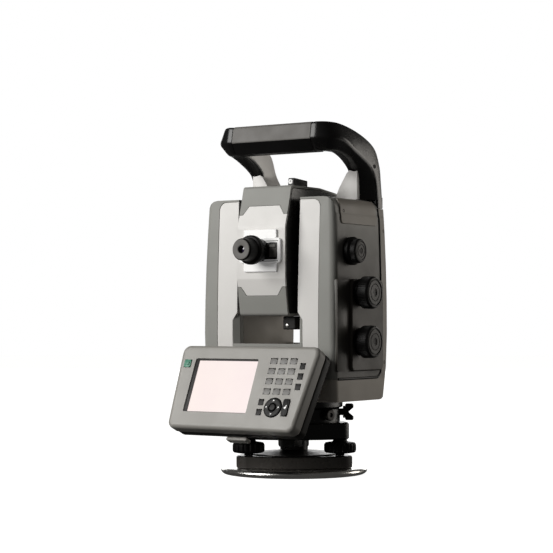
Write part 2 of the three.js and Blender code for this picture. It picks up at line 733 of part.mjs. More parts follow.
function telescopeBody() {
  const { skin, halfWidth } = scope;
  const body = tubePrism(skin, halfWidth);
  const ocularBore = rod(eyepiece.tube + HOLE_PLAY, -90, -40, 'y', 28);
  const objectiveBore = rod(lens.tube + HOLE_PLAY, 40, 90, 'y', 36);
  const ocularTube = ring(7, eyepiece.tube, -80, -42, 'y', 28);
  const lensTube = ring(lens.bore, lens.tube, lens.near, lens.far, 'y', 36);
  const cavity = join(rod(7, -90, -30, 'y', 28), rod(lens.bore, lens.near, 90, 'y', 36));
  const halfAxle = trunnion();
  const housing = join(cut(body, cavity), ocularTube, lensTube, halfAxle, acrossX(halfAxle));
  add('telescope_housing', housing, colour.black, { roughness: 0.45, parent: telescope });

  const shell = cut(tubePrism(1, halfWidth), tubePrism(skin + 0.005, halfWidth + 5));
  // The top cover's lower edge steps up in the middle, and the bottom cover mirrors it.
  const upper = (gap) => outline([
    [-60, 41 - gap], [gap - 28, 41 - gap], [gap - 21, 51 - gap], [21 - gap, 51 - gap],
    [28 - gap, 41 - gap], [60, 41 - gap], [60, BEYOND], [-60, BEYOND],
  ]);
  const lid = (gap) => prism(upper(gap), 'y', -BEYOND, BEYOND);
  const floor = (gap) => lid(gap).mirror([0, 0, 1]);
  const middle = cut(shell, lid(GAP), floor(GAP), ocularBore, objectiveBore);
  const frontRoom = block([-60, -BEYOND, -80], [60, 0, 80]);
  const rearRoom = frontRoom.mirror([0, 1, 0]);
  const options = { roughness: 0.42, parent: telescope };
  add('telescope_top_cover', shell.intersect(lid(0)), colour.medium, options);
  add('telescope_bottom_cover', shell.intersect(floor(0)), colour.medium, options);
  add('telescope_front_cover', middle.intersect(frontRoom), colour.light, options);
  add('telescope_rear_cover', middle.intersect(rearRoom), colour.light, options);
}

function ocular() {
  const near = -68.5 - GAP; // just in front of the telescope's flat face
  const upright = rectangle(-22.2, -24, 22.2, 23.5, 1);
  const cross = rectangle(-28, -14, 28, 14, 4);
  const plate = join(
    prism(upright, 'y', near - 2.2, near, { bevel: 0.5 }),
    prism(cross, 'y', near - 3, near, { bevel: 0.5 }),
  );
  const window = prism(rectangle(13.5, -9, 20.5, 9, 1), 'y', near - 5, near - 1.2);
  const hole = rod(eyepiece.tube + HOLE_PLAY, -90, -40, 'y', 28);
  const options = { roughness: 0.35, parent: telescope };
  add('eyepiece_plate', cut(plate, window, hole), colour.white, options);

  const { cup, ring: grasp, face } = eyepiece;
  const bore = 6.6;
  const base = -80 - GAP; // just off the end of the telescope's eyepiece tube
  const turning = turned([
    [bore, 6 - face], [4, 3 - face], [4, -face], [cup - 1, -face], [cup, 1 - face], [cup, -92],
    [grasp, -91], [grasp, -81], [grasp - 1, base], [bore, base], [bore, 6 - face],
  ], 'y', 28);
  add('eyepiece_ring', turning, colour.black, { parent: telescope });
}

function objective() {
  const profile = [[0, 80], [24.2, 80], [24.2, 84], [20, 85.6], [12, 86.8], [0, 87.2]];
  add('objective_lens', turned(profile, 'y', 32), colour.glass, { roughness: 0.05, parent: telescope });
}

function scopeFittings() {
  const top = scope.halfHeight + GAP;
  const side = outline([[-38, top], [-37, top + 9.4, 1.5], [-8, top + 7.4, 1], [-8, top]]);
  const tunnel = rod(2.4, -60, -30, 'y', 20).translate(20, 0, top + 5);
  const sight = cut(prism(side, 'x', 16.5, 23.5, { curve: 3 }), tunnel);
  add('collimator_sight', sight, colour.black, { roughness: 0.4, parent: telescope });
  const bottom = -scope.halfHeight - GAP;
  const bracketSide = rectangle(-45, bottom - 15, -30, bottom, 1.5);
  const bracket = prism(bracketSide, 'x', 14, 31, { bevel: 1, curve: 3 });
  add('lower_bracket', bracket, colour.black, { roughness: 0.45, parent: telescope });
}

// --- control unit ----------------------------------------------------------------------------------------
// Local frame of the group: x to the right, y up along the panel and z out of its face.

const unit = new THREE.Group();
unit.position.set(...panel.centre);
unit.rotation.x = radians(90 - panel.tilt);
station.add(unit);

function unitOutline(grow = 0, radius = 9) {
  const { low, high, topEnds, bottomEnds } = panel;
  return outline([
    [bottomEnds[0] - grow, low - grow, radius], [bottomEnds[1] + grow, low - grow, radius],
    [topEnds[1] + grow, high + grow, radius], [topEnds[0] - grow, high + grow, radius],
  ]);
}

function numberKeyCentres() {
  const centres = [];
  for (let row = 0; row < keypad.rows; row += 1) {
    for (let column = 0; column < keypad.columns; column += 1) {
      centres.push([keypad.x + column * keypad.stepX, keypad.y - row * keypad.stepY]);
    }
  }
  return centres;
}

function keySolid({ x, y, width, height }, low, high, radius = 1.4) {
  const shape = rectangle(x - width / 2, y - height / 2, x + width / 2, y + height / 2, radius);
  return prism(shape, 'z', low, high, { bevel: 0.5, curve: 1 });
}

function keyHole({ x, y, width, height }) {
  const halfWidth = width / 2 + HOLE_PLAY;
  const halfHeight = height / 2 + HOLE_PLAY;
  return block([x - halfWidth, y - halfHeight, -30], [x + halfWidth, y + halfHeight, 10]);
}

// Keys of one size on the rubber mat that joins them under the face.
function keyMat(name, centres, size, paint) {
  const { mat, matThickness, matRim, rise } = keypad;
  const columns = centres.map(([x]) => x);
  const rows = centres.map(([, y]) => y);
  const reachX = size.width / 2 + matRim;
  const reachY = size.height / 2 + matRim;
  const sheet = block(
    [Math.min(...columns) - reachX, Math.min(...rows) - reachY, mat - matThickness],
    [Math.max(...columns) + reachX, Math.max(...rows) + reachY, mat],
  );
  const tops = centres.map(([x, y]) => keySolid({ ...size, x, y }, mat - 0.5, rise));
  add(name, join(sheet, ...tops), paint, { roughness: 0.6, parent: unit });
}

function unitFrontCase() {
  const { front, wall } = panel;
  const { low, high, depth, ledge } = screen;
  const cavity = prism(unitOutline(-wall, 6), 'z', -front - 5, -wall - 1);
  const screenRoom = prism(rectangle(...low, ...high, 2), 'z', -depth - 0.2, 10);
  const backWindow = rectangle(low[0] + ledge, low[1] + ledge, high[0] - ledge, high[1] - ledge, 2);
  const keyHoles = [
    ...numberKeyCentres().map(([x, y]) => keyHole({ ...keypad, x, y })),
    ...Object.values(darkKeys).flat().map(([x, y]) => keyHole({ ...darkKey, x, y })),
    keyHole(enter),
    keyHole(power),
    rod(dpad.radius + HOLE_PLAY, -30, 10, 'z', 32).translate(dpad.x, dpad.y, 0),
  ];
  const shell = prism(unitOutline(), 'z', -front, 0, { bevel: 4, bevelSteps: 3, curve: 5 });
  const face = cut(shell, cavity, screenRoom, prism(backWindow, 'z', -10, 1), ...keyHoles);
  add('unit_front_case', face, colour.casing, { parent: unit });
}

function unitRearCase() {
  const { front, depth, wall } = panel;
  const rearForm = prism(unitOutline(-1, 8), 'z', -depth, -front - GAP, { bevel: 2.5, bevelSteps: 2 });
  const hollow = prism(unitOutline(-wall - 1, 6), 'z', -depth + wall, 0);
  add('unit_rear_case', cut(rearForm, hollow), colour.dark, { roughness: 0.55, parent: unit });
}

function unitDisplay() {
  const { low, high, depth, glass } = screen;
  const pane = rectangle(low[0] + GAP, low[1] + GAP, high[0] - GAP, high[1] - GAP, 1.8);
  const solid = prism(pane, 'z', -depth, -depth + glass);
  add('unit_display', solid, colour.display, { roughness: 0.15, parent: unit });
}

function unitKeys() {
  const rubber = { roughness: 0.6, parent: unit };
  const keyLow = keypad.mat + 1;
  keyMat('number_keypad', numberKeyCentres(), keypad, colour.casing);
  for (const [name, centres] of Object.entries(darkKeys)) {
    keyMat(name, centres, darkKey, colour.dark);
  }
  add('enter_key', keySolid(enter, keyLow, keypad.rise), colour.dark, rubber);
  add('power_key', keySolid(power, keyLow, power.rise), colour.green, rubber);
  const { x, y, radius } = dpad;
  const disc = turned([
    [0, keyLow], [radius, keyLow], [radius, 1], [radius - 1, 1.8], [4, 1.4], [0, 1.2],
  ], 'z', 32);
  add('direction_pad', disc.translate(x, y, 0), colour.dark, rubber);
}

function releaseLatch() {
  const { front, depth, low } = panel;
  const face = rectangle(-19, low - 5.9, 9, low - 1.4, 2);
  const solid = prism(face, 'z', -depth + 1, -front - 1, { bevel: 1 });
  add('release_latch', solid, colour.casing, { parent: unit });
}

// The bracket that joins the control unit to the foot of the standards. It clears the clamp knob
// and the power inlet while the station turns over them.
function unitHolder(body) {
  const { tilt, centre, depth } = panel;
  const slope = Math.tan(radians(tilt));
  const back = centre[1] + depth / Math.cos(radians(tilt)) + GAP + HOLE_PLAY;
  const at = (z) => back + (z - centre[2]) * slope; // y of the unit's back at height z
  const halfWidth = 42;
  const side = outline([[at(79), 79, 3], [-40, 88, 0], [-40, 126], [at(128), 128, 2]]);
  const clearance = rod(76, 0, foot.high + 0.8, 'z', 48);
  const bracket = cut(prism(side, 'x', -halfWidth, halfWidth), body, trimRoom(GAP), clearance);
  add('unit_holder', bracket, colour.dark, { roughness: 0.55 });
}

// --- assembly --------------------------------------------------------------------------------------------

headPlate();
fixingScrew();
tribrachPlates();
tribrachBody();
circularLevel();
footscrews();
clampKnob();
plummetEyepiece();
instrumentFoot();

const bodyForm = cut(envelope(), yokeGap());
yoke(bodyForm);
frontCovers(bodyForm);
sideCovers(bodyForm);
batteryAndDoor();
knobPanel();
tangentKnob('vertical_tangent_knob', tangent.heights[0]);
tangentKnob('horizontal_tangent_knob', tangent.heights[1]);
focusKnob();
rearDisplay();
carryHandle();

telescopeBody();
ocular();
objective();
scopeFittings();

unitFrontCase();
unitRearCase();
unitDisplay();
unitKeys();
releaseLatch();
unitHolder(envelope(GAP));

export default station;
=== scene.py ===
"""Looks of a surveying total station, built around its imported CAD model.

Metres, in the frame of the CAD: +Z is the standing axis, -Y the side of the eyepiece and the
control unit, +X the side of the drive knobs, and z = 0 the underside of the tripod head plate.
Profiles, outlines and ridges are written in millimetres and scaled by MM.
"""
import json
import math

import bmesh
import bpy
from mathutils import Matrix, Vector
from mathutils.bvhtree import BVHTree


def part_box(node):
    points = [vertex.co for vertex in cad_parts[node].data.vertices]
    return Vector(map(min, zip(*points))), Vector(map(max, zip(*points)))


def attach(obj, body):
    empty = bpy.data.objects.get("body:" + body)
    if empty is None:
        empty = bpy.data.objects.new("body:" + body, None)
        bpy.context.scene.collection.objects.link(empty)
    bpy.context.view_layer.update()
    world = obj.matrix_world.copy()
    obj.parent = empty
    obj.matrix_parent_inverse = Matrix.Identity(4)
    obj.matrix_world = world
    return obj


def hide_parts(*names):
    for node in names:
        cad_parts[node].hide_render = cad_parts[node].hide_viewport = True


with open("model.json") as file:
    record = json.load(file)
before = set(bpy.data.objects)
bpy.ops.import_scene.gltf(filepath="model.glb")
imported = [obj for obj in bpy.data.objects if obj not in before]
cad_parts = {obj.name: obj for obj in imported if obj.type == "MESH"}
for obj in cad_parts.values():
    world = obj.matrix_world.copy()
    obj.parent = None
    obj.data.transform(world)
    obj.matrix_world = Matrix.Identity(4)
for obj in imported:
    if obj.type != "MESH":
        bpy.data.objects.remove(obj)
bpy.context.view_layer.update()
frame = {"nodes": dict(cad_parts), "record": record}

MM = 0.001
NODES = frame["nodes"]
SLOT_OF = {part["node"]: part["material_slot"] for part in frame["record"]["subparts"]}
HANDS = (("right", 1), ("left", -1))

# --- camera -------------------------------------------------------------------------------

CAMERA_AT = Vector((1.09988, -1.69831, 0.17634))
CAMERA_LOOKS = Vector((-0.5518, 0.8336, 0.02485))
CAMERA_LENS = 113.92
CAMERA_SENSOR = 36.0


def make_camera():
    data = bpy.data.cameras.new("camera")
    data.lens = CAMERA_LENS
    data.sensor_width = CAMERA_SENSOR
    data.clip_start = 0.05
    data.clip_end = 60.0
    camera = bpy.data.objects.new("camera", data)
    camera.location = CAMERA_AT
    camera.rotation_mode = "QUATERNION"
    camera.rotation_quaternion = CAMERA_LOOKS.to_track_quat("-Z", "Y")
    bpy.context.scene.collection.objects.link(camera)
    bpy.context.scene.camera = camera


# --- materials ----------------------------------------------------------------------------

# Radius of the lighter edges: scuffs, and a painted edge highlight.
WORN_AND_HIGHLIT_EDGE = 0.9 * MM
# Scales of noise for each kind of mark, from the broadest to the finest.
CLOUDS = 14.0
METAL_CLOUDS = 22.0
SMEARS = 38.0
RUBBED_AND_HIGHLIT_PATCHES = 90.0
SCRATCHES = 900.0


class Shader:
    """A principled material with short calls for the nodes that feed it."""

    def __init__(self, name, roughness=0.5, metallic=0.0, **constants):
        self.material = bpy.data.materials.new(name)
        self.material.use_nodes = True
        self.tree = self.material.node_tree
        self.surface = self.tree.nodes["Principled BSDF"]
        self.set("Roughness", roughness)
        self.set("Metallic", metallic)
        for socket, value in constants.items():
            self.set(socket.replace("_", " "), value)
        self.place = self.node("ShaderNodeTexCoord").outputs["Object"]

    def set(self, socket, value):
        self.surface.inputs[socket].default_value = value

    def node(self, kind, **settings):
        made = self.tree.nodes.new(kind)
        for key, value in settings.items():
            setattr(made, key, value)
        return made

    def link(self, output, socket):
        self.tree.links.new(output, socket)

    def feed(self, output, socket):
        self.link(output, self.surface.inputs[socket])

    def noise(self, scale, detail=2.0, roughness=0.5, stretch=None):
        made = self.node("ShaderNodeTexNoise")
        made.inputs["Scale"].default_value = scale
        made.inputs["Detail"].default_value = detail
        made.inputs["Roughness"].default_value = roughness
        source = self.place
        if stretch:
            mapping = self.node("ShaderNodeMapping")
            mapping.inputs["Scale"].default_value = stretch
            self.link(self.place, mapping.inputs["Vector"])
            source = mapping.outputs["Vector"]
        self.link(source, made.inputs["Vector"])
        return made.outputs["Fac"]

    def coordinates(self):
        split = self.node("ShaderNodeSeparateXYZ")
        self.link(self.place, split.inputs["Vector"])
        return split.outputs

    def ramp(self, value, low, high, to_low=0.0, to_high=1.0):
        made = self.node("ShaderNodeMapRange")
        made.inputs["From Min"].default_value = low
        made.inputs["From Max"].default_value = high
        made.inputs["To Min"].default_value = to_low
        made.inputs["To Max"].default_value = to_high
        self.link(value, made.inputs["Value"])
        return made.outputs["Result"]

    def mix(self, factor, first, second):
        made = self.node("ShaderNodeMix", data_type="RGBA")
        self.link(factor, made.inputs["Factor"])
        for socket, value in (("A", first), ("B", second)):
            target = [s for s in made.inputs if s.name == socket and s.type == "RGBA"][0]
            if isinstance(value, tuple):
                target.default_value = (*value, 1.0)
            else:
                self.link(value, target)
        return [s for s in made.outputs if s.type == "RGBA"][0]

    def maths(self, operation, first, second):
        made = self.node("ShaderNodeMath", operation=operation)
        for i, value in enumerate((first, second)):
            if isinstance(value, (int, float)):
                made.inputs[i].default_value = value
            else:
                self.link(value, made.inputs[i])
        return made.outputs[0]

    def bump(self, height, strength, distance, below=None):
        made = self.node("ShaderNodeBump")
        made.inputs["Strength"].default_value = strength
        made.inputs["Distance"].default_value = distance
        self.link(height, made.inputs["Height"])
        if below is not None:
            self.link(below, made.inputs["Normal"])
        return made.outputs["Normal"]

    def edges(self, radius):
        """1 along sharp edges and 0 on open faces."""
        bevel = self.node("ShaderNodeBevel", samples=4)
        bevel.inputs["Radius"].default_value = radius
        normal = self.node("ShaderNodeNewGeometry").outputs["Normal"]
        dot = self.node("ShaderNodeVectorMath", operation="DOT_PRODUCT")
        self.link(bevel.outputs["Normal"], dot.inputs[0])
        self.link(normal, dot.inputs[1])
        return self.ramp(self.maths("SUBTRACT", 1.0, dot.outputs["Value"]), 0.02, 0.3)


def shade(colour, factor):
    return tuple(min(1.0, channel * factor) for channel in colour)


def grained(name, colour, roughness, grain, depth, uneven=0.10, speck=0.08, wear_and_highlight=0.0, worn_and_highlit=None,
            zones=(), **constants):
    """Enamel, moulded plastic or rubber: a fine grain, cloudy tone, specks and lighter edges, scuffed and
    with a painted edge highlight.

    grain is the scale of the grain and depth its height in millimetres; uneven, speck and wear
    run from 0 to 1, and wear sets the lighter edges, which are scuffs and a painted edge highlight.
    zones holds (axis, start, end, colour): painted light and shade, a tone laid on the parts of the
    station that lie beyond start along an axis, in metres, and fully so at end.
    """
    made = Shader(name, roughness, 0.0, **constants)
    cloud = made.ramp(made.noise(CLOUDS, 3.0), 0.3, 0.7)
    tone = made.mix(cloud, shade(colour, 1 - uneven), shade(colour, 1 + uneven))
    # Each zone paints light and shade into the colour by place.
    for axis, start, end, coat in zones:
        where = made.maths("ABSOLUTE", made.coordinates()[axis], 0.0)
        second = made.mix(cloud, shade(coat, 1 - uneven), shade(coat, 1 + uneven))
        tone = made.mix(made.ramp(where, start, end), tone, second)
    fine = made.noise(grain, 3.0, 0.6)
    specks = made.ramp(fine, 0.35, 0.7)
    tone = made.mix(made.maths("MULTIPLY", specks, speck), tone, shade(colour, 1.6))
    # Lighter edges in patches: scuffs, and a painted edge highlight along them.
    if wear_and_highlight > 0:
        patchy = made.ramp(made.noise(RUBBED_AND_HIGHLIT_PATCHES, 4.0, 0.65), 0.42, 0.62)
        rubbed_and_highlit = made.maths("MULTIPLY", made.edges(WORN_AND_HIGHLIT_EDGE), patchy)
        tone = made.mix(made.maths("MULTIPLY", rubbed_and_highlit, wear_and_highlight), tone, worn_and_highlit or shade(colour, 1.9))
    made.feed(tone, "Base Color")
    smears = made.ramp(made.noise(SMEARS, 4.0, 0.6), 0.3, 0.7, roughness * 0.86, roughness * 1.12)
    made.feed(smears, "Roughness")
    coarse = made.bump(made.noise(grain * 0.22, 2.0), 0.25, depth * MM)
    made.feed(made.bump(fine, 0.6, depth * MM, coarse), "Normal")
    return made.material


def metal(name, colour, roughness, turned=None, scratch=0.25):
    """Bare metal with tool marks: rings round the given axis, or fine straight scratches."""
    made = Shader(name, roughness, 1.0)
    cloud = made.ramp(made.noise(METAL_CLOUDS, 4.0), 0.3, 0.7)
    made.feed(made.mix(cloud, shade(colour, 0.86), shade(colour, 1.08)), "Base Color")
    if turned:
        wave = made.node("ShaderNodeTexWave", wave_type="RINGS", rings_direction=turned)
        wave.inputs["Scale"].default_value = 420.0
        wave.inputs["Distortion"].default_value = 1.4
        wave.inputs["Detail"].default_value = 3.0
        made.link(made.place, wave.inputs["Vector"])
        marks = wave.outputs["Fac"]
    else:
        marks = made.noise(SCRATCHES, 3.0, 0.6, stretch=(1.0, 0.08, 1.0))
    handled = made.noise(60.0, 5.0, 0.7)
    made.feed(made.ramp(handled, 0.3, 0.75, roughness * 0.7, roughness * 1.5), "Roughness")
    made.feed(made.bump(marks, scratch, 0.02 * MM), "Normal")
    return made.material


def glass_coating(name, colour, tint):
    """A dark coated lens: deep body colour in two hues under a hard clear coat, with a little dust."""
    made = Shader(name, 0.06, 0.0, Coat_Weight=1.0, Coat_Roughness=0.02)
    base = made.mix(made.ramp(made.noise(60.0, 1.0), 0.35, 0.65), colour, tint)
    dust = made.ramp(made.noise(300.0, 3.0), 0.62, 0.8, 0.0, 0.25)
    made.feed(made.mix(dust, base, (0.3, 0.3, 0.3)), "Base Color")
    return made.material


def lit_display(name):
    """The pale panel of a switched-on display, with a faint blush and pixel rows."""
    made = Shader(name, 0.3, 0.0, Specular_IOR_Level=0.2, Emission_Strength=0.69)
    across = made.ramp(made.coordinates()["X"], -0.075, 0.02)
    blush = made.mix(across, (0.99, 0.87, 0.82), (1.0, 0.87, 0.86))
    cloud = made.ramp(made.noise(26.0, 2.0), 0.35, 0.7, 0.0, 0.6)
    made.feed(made.mix(cloud, (0.25, 0.22, 0.21), (0.22, 0.19, 0.19)), "Base Color")
    made.feed(made.mix(cloud, blush, (0.99, 0.84, 0.83)), "Emission Color")
    rows = made.node("ShaderNodeTexWave", wave_type="BANDS", bands_direction="X")
    rows.inputs["Scale"].default_value = 900.0
    made.link(made.place, rows.inputs["Vector"])
    made.feed(made.bump(rows.outputs["Fac"], 0.05, 0.01 * MM), "Normal")
    return made.material


def level_fluid(name):
    made = Shader(name, 0.08, 0.0, Coat_Weight=1.0, Coat_Roughness=0.03)
    cloud = made.noise(160.0, 2.0)
    made.feed(made.mix(cloud, (0.10, 0.26, 0.06), (0.20, 0.42, 0.10)), "Base Color")
    return made.material


MEDIUM = (0.290, 0.290, 0.271)
LIGHT = (0.700, 0.685, 0.662)
BROWN_GREY = (0.340, 0.315, 0.280)
PLATE_PAINTED_SHEEN = (0.058, 0.053, 0.048)
SIDE_PAINTED_SHADE = (0.054, 0.048, 0.041)
LOW_PAINTED_REFLECTION = (0.500, 0.465, 0.415)
CASING = (0.290, 0.280, 0.258)
BLACK = (0.0040, 0.0038, 0.0038)
RUBBER = (0.0045, 0.0042, 0.0042)
RUBBED_AND_HIGHLIT_BLACK = (0.035, 0.033, 0.030)
# On black paint below z 21 to 22.5 mm, the tribrach's base plate: a lighter grey, painted sheen.
BASE_PLATE_SHEEN_ZONE = ("Z", 0.0225, 0.0210, PLATE_PAINTED_SHEEN)
# On brown-grey paint below z 108 to 112 mm: a lighter tone, painted reflection of the pale floor.
LOW_REFLECTION_ZONE = ("Z", 0.112, 0.108, LOW_PAINTED_REFLECTION)
# On brown-grey paint beyond x 90.1 to 90.5 mm to either side, the caps and knob panels: painted shade.
CAP_SHADE_ZONE = ("X", 0.0901, 0.0905, SIDE_PAINTED_SHADE)
# On medium-grey paint beyond x 87 to 89.3 mm to either side, the side walls: painted shade.
WALL_SHADE_ZONE = ("X", 0.0870, 0.0893, SIDE_PAINTED_SHADE)


def make_finishes():
    return {
        "anodised_plate": metal("anodised_plate", (0.84, 0.83, 0.80), 0.22, turned="Z", scratch=0.3),
        "black_paint": grained("black_paint", BLACK, 0.27, 1500.0, 0.05, wear_and_highlight=0.4, worn_and_highlit=RUBBED_AND_HIGHLIT_BLACK,
                               zones=(BASE_PLATE_SHEEN_ZONE,), Specular_IOR_Level=0.42),
        "dark_metal": metal("dark_metal", (0.13, 0.125, 0.12), 0.36, turned="Z"),
        "bright_steel": metal("bright_steel", (0.62, 0.61, 0.59), 0.27),
        "brown_grey_paint": grained("brown_grey_paint", BROWN_GREY, 0.46, 1500.0, 0.07, wear_and_highlight=0.3,
                                    zones=(LOW_REFLECTION_ZONE, CAP_SHADE_ZONE), Specular_IOR_Level=0.2),
        "medium_grey_paint": grained("medium_grey_paint", MEDIUM, 0.42, 1500.0, 0.05, 0.05, wear_and_highlight=0.25,
                                     zones=(WALL_SHADE_ZONE,), Specular_IOR_Level=0.2),
        "light_grey_paint": grained("light_grey_paint", LIGHT, 0.38, 1500.0, 0.04, 0.03, wear_and_highlight=0.2,
                                    worn_and_highlit=(0.78, 0.77, 0.75)),
        "casing_plastic": grained("casing_plastic", CASING, 0.42, 1700.0, 0.05, 0.04, wear_and_highlight=0.45,
                                  worn_and_highlit=(0.52, 0.50, 0.47)),
        "black_rubber": grained("black_rubber", RUBBER, 0.44, 1100.0, 0.05, wear_and_highlight=0.6,
                                worn_and_highlit=RUBBED_AND_HIGHLIT_BLACK, Specular_IOR_Level=0.18),
        "grip_rubber": grained("grip_rubber", (0.118, 0.112, 0.104), 0.58, 700.0, 0.14, 0.07, 0.12,
                               wear_and_highlight=0.3),
        "key_rubber": grained("key_rubber", (0.120, 0.115, 0.108), 0.42, 1500.0, 0.04, 0.05, wear_and_highlight=0.5,
                              worn_and_highlit=(0.32, 0.31, 0.29)),
        "green_key": grained("green_key", (0.040, 0.235, 0.150), 0.45, 1500.0, 0.04, wear_and_highlight=0.3,
                             worn_and_highlit=(0.20, 0.45, 0.33)),
        # white_plate also glows faintly: painted light that makes the white marks brighter than the lamps
        # do.
        "white_plate": grained("white_plate", (0.93, 0.93, 0.92), 0.30, 1200.0, 0.03, 0.02, 0.02,
                               Emission_Strength=0.12, Emission_Color=(1, 1, 1, 1)),
        "coated_glass": glass_coating("coated_glass", (0.010, 0.010, 0.022), (0.045, 0.022, 0.085)),
        "display_glass": lit_display("display_glass"),
        "dark_plastic": grained("dark_plastic", (0.016, 0.015, 0.014), 0.42, 1300.0, 0.06, wear_and_highlight=0.6,
                                worn_and_highlit=(0.07, 0.066, 0.06), Specular_IOR_Level=0.18),
        "level_fluid": level_fluid("level_fluid"),
    }


# --- the CAD nodes ------------------------------------------------------------------------

SMOOTH_BELOW = math.radians(38)
BEVEL_ABOVE = math.radians(32)
FLAT_WITHIN = math.radians(0.35)
DEFAULT_BEVEL = 0.3
BEVELS = {  # nodes by the width of their rounded edges in millimetres
    1.2: ["standard_right", "standard_left"],
    1.0: ["unit_holder"],
    0.9: ["saddle_trim", "front_panel_right", "front_panel_left"],
    0.8: ["yoke_base", "telescope_housing", "unit_rear_case", "tribrach_body", "tribrach_base_plate",
          "release_latch", "battery"],
    0.7: ["side_cover_right", "side_cover_left", "top_cap_right", "top_cap_left"],
    0.6: ["lower_bracket", "battery_door", "rear_display_frame", "clamp_knob"],
    0.5: ["knob_panel"],
    0.45: ["telescope_top_cover", "telescope_bottom_cover", "telescope_front_cover",
           "telescope_rear_cover"],
    0.4: ["collimator_sight", "battery_latch"],
    0.35: ["unit_front_case"],
    0.25: ["eyepiece_plate"],
    0.15: ["unit_display"],
}
BEVEL_OF = {node: width for width, nodes in BEVELS.items() for node in nodes}
UNJOINED = {"unit_front_case"}  # a face with many holes keeps its triangles


def smooth_group():
    """A node group that shades everything smooth except edges sharper than SMOOTH_BELOW."""
    group = bpy.data.node_groups.new("smooth_by_angle", "GeometryNodeTree")
    group.interface.new_socket("Geometry", in_out="INPUT", socket_type="NodeSocketGeometry")
    group.interface.new_socket("Geometry", in_out="OUTPUT", socket_type="NodeSocketGeometry")
    nodes = group.nodes
    entry = nodes.new("NodeGroupInput")
    result = nodes.new("NodeGroupOutput")
    faces = nodes.new("GeometryNodeSetShadeSmooth")
    edges = nodes.new("GeometryNodeSetShadeSmooth")
    edges.domain = "EDGE"
    angle = nodes.new("GeometryNodeInputMeshEdgeAngle")
    gentle = nodes.new("FunctionNodeCompare")
    gentle.operation = "LESS_THAN"
    gentle.inputs[1].default_value = SMOOTH_BELOW
    group.links.new(entry.outputs[0], faces.inputs["Geometry"])
    group.links.new(faces.outputs[0], edges.inputs["Geometry"])
    group.links.new(angle.outputs["Unsigned Angle"], gentle.inputs[0])
    group.links.new(gentle.outputs[0], edges.inputs["Shade Smooth"])
    group.links.new(edges.outputs[0], result.inputs[0])
    return group


def soften(obj, width, joined, smooth_nodes):
    """Rounds the edges of a faceted solid by width, in millimetres, and shades it smooth."""
    weld = obj.modifiers.new("weld", "WELD")
    weld.merge_threshold = 0.002 * MM
    if joined:
        flat = obj.modifiers.new("flat", "DECIMATE")
        flat.decimate_type = "DISSOLVE"
        flat.angle_limit = FLAT_WITHIN
    bevel = obj.modifiers.new("bevel", "BEVEL")
    bevel.width = width * MM
    bevel.segments = 2
    bevel.limit_method = "ANGLE"
    bevel.angle_limit = BEVEL_ABOVE
    bevel.use_clamp_overlap = True
    bevel.miter_outer = "MITER_ARC"
    smooth = obj.modifiers.new("smooth", "NODES")
    smooth.node_group = smooth_nodes
    normals = obj.modifiers.new("normals", "WEIGHTED_NORMAL")
    normals.keep_sharp = True
    normals.weight = 90


def dress_nodes():
    smooth_nodes = smooth_group()
    for name, obj in NODES.items():
        obj.data.materials.clear()
        obj.data.materials.append(FINISHES[SLOT_OF[name]])
        soften(obj, BEVEL_OF.get(name, DEFAULT_BEVEL), name not in UNJOINED, smooth_nodes)


# --- building tools for new pieces --------------------------------------------------------


def piece(name, mesh, body, slot, replaced=None):
    """Puts a finished mesh in the scene, on its body, with its finish and for the node it replaces."""
    mesh.name = name
    obj = bpy.data.objects.new(name, mesh)
    bpy.context.scene.collection.objects.link(obj)
    mesh.materials.append(FINISHES[slot])
    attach(obj, body)
    if replaced:
        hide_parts(replaced)
    return obj


def middle(node):
    low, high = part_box(node)
    return (low + high) / 2


TREES = {}


def surface_at(node, origin, direction):
    """Where a ray first meets a CAD node: (point, normal)."""
    if node not in TREES:
        mesh = NODES[node].data
        TREES[node] = BVHTree.FromPolygons([v.co for v in mesh.vertices],
                                           [tuple(p.vertices) for p in mesh.polygons])
    point, normal, _, _ = TREES[node].ray_cast(Vector(origin), Vector(direction))
    return point, normal


# Places by where their third axis points. An outline's two numbers run along the noted axes.
PLACES = {
    "+x": Matrix(((0, 0, 1), (1, 0, 0), (0, 1, 0))).to_4x4(),  # (y, z)
    "+y": Matrix(((1, 0, 0), (0, 0, 1), (0, -1, 0))).to_4x4(),  # (x, -z)
    "+z": Matrix.Identity(4),  # (x, y)
    "back": Matrix(((-1, 0, 0), (0, 0, 1), (0, 1, 0))).to_4x4(),  # +Y again, with (-x, z)
    "front": Matrix(((1, 0, 0), (0, 0, -1), (0, 1, 0))).to_4x4(),  # -Y, with (x, z)
}


def about(axis, x=0.0, y=0.0, z=0.0):
    """The named place, moved to a point in metres."""
    return Matrix.Translation((x, y, z)) @ PLACES[axis]


def facing(centre, normal):
    """A place whose third axis is normal and whose second axis is as near upright as it can be."""
    out = Vector(normal).normalized()
    side = Vector((0, 0, 1)).cross(out).normalized()
    matrix = Matrix((side, out.cross(side), out)).transposed().to_4x4()
    matrix.translation = Vector(centre)
    return matrix


def mesh_of(bm, place, angle=40):
    """The mesh of bm at place, its normals outward and smooth except across edges over angle."""
    bmesh.ops.recalc_face_normals(bm, faces=bm.faces)
    bm.transform(place)
    mesh = bpy.data.meshes.new("mesh")
    bm.to_mesh(mesh)
    bm.free()
    for face in mesh.polygons:
        face.use_smooth = True
    mesh.set_sharp_from_angle(angle=math.radians(angle))
    return mesh


def bend(before, here, after, fillet, share, steps=4):
    """Points of a soft corner at here, which starts at most fillet and a share of each side away."""
    back = before - here
    ahead = after - here
    reach = min(fillet, back.length * share, ahead.length * share)
    start = here + back.normalized() * reach
    end = here + ahead.normalized() * reach
    turns = [k / steps for k in range(steps + 1)]
    return [start * (1 - t) ** 2 + here * 2 * t * (1 - t) + end * t ** 2 for t in turns]


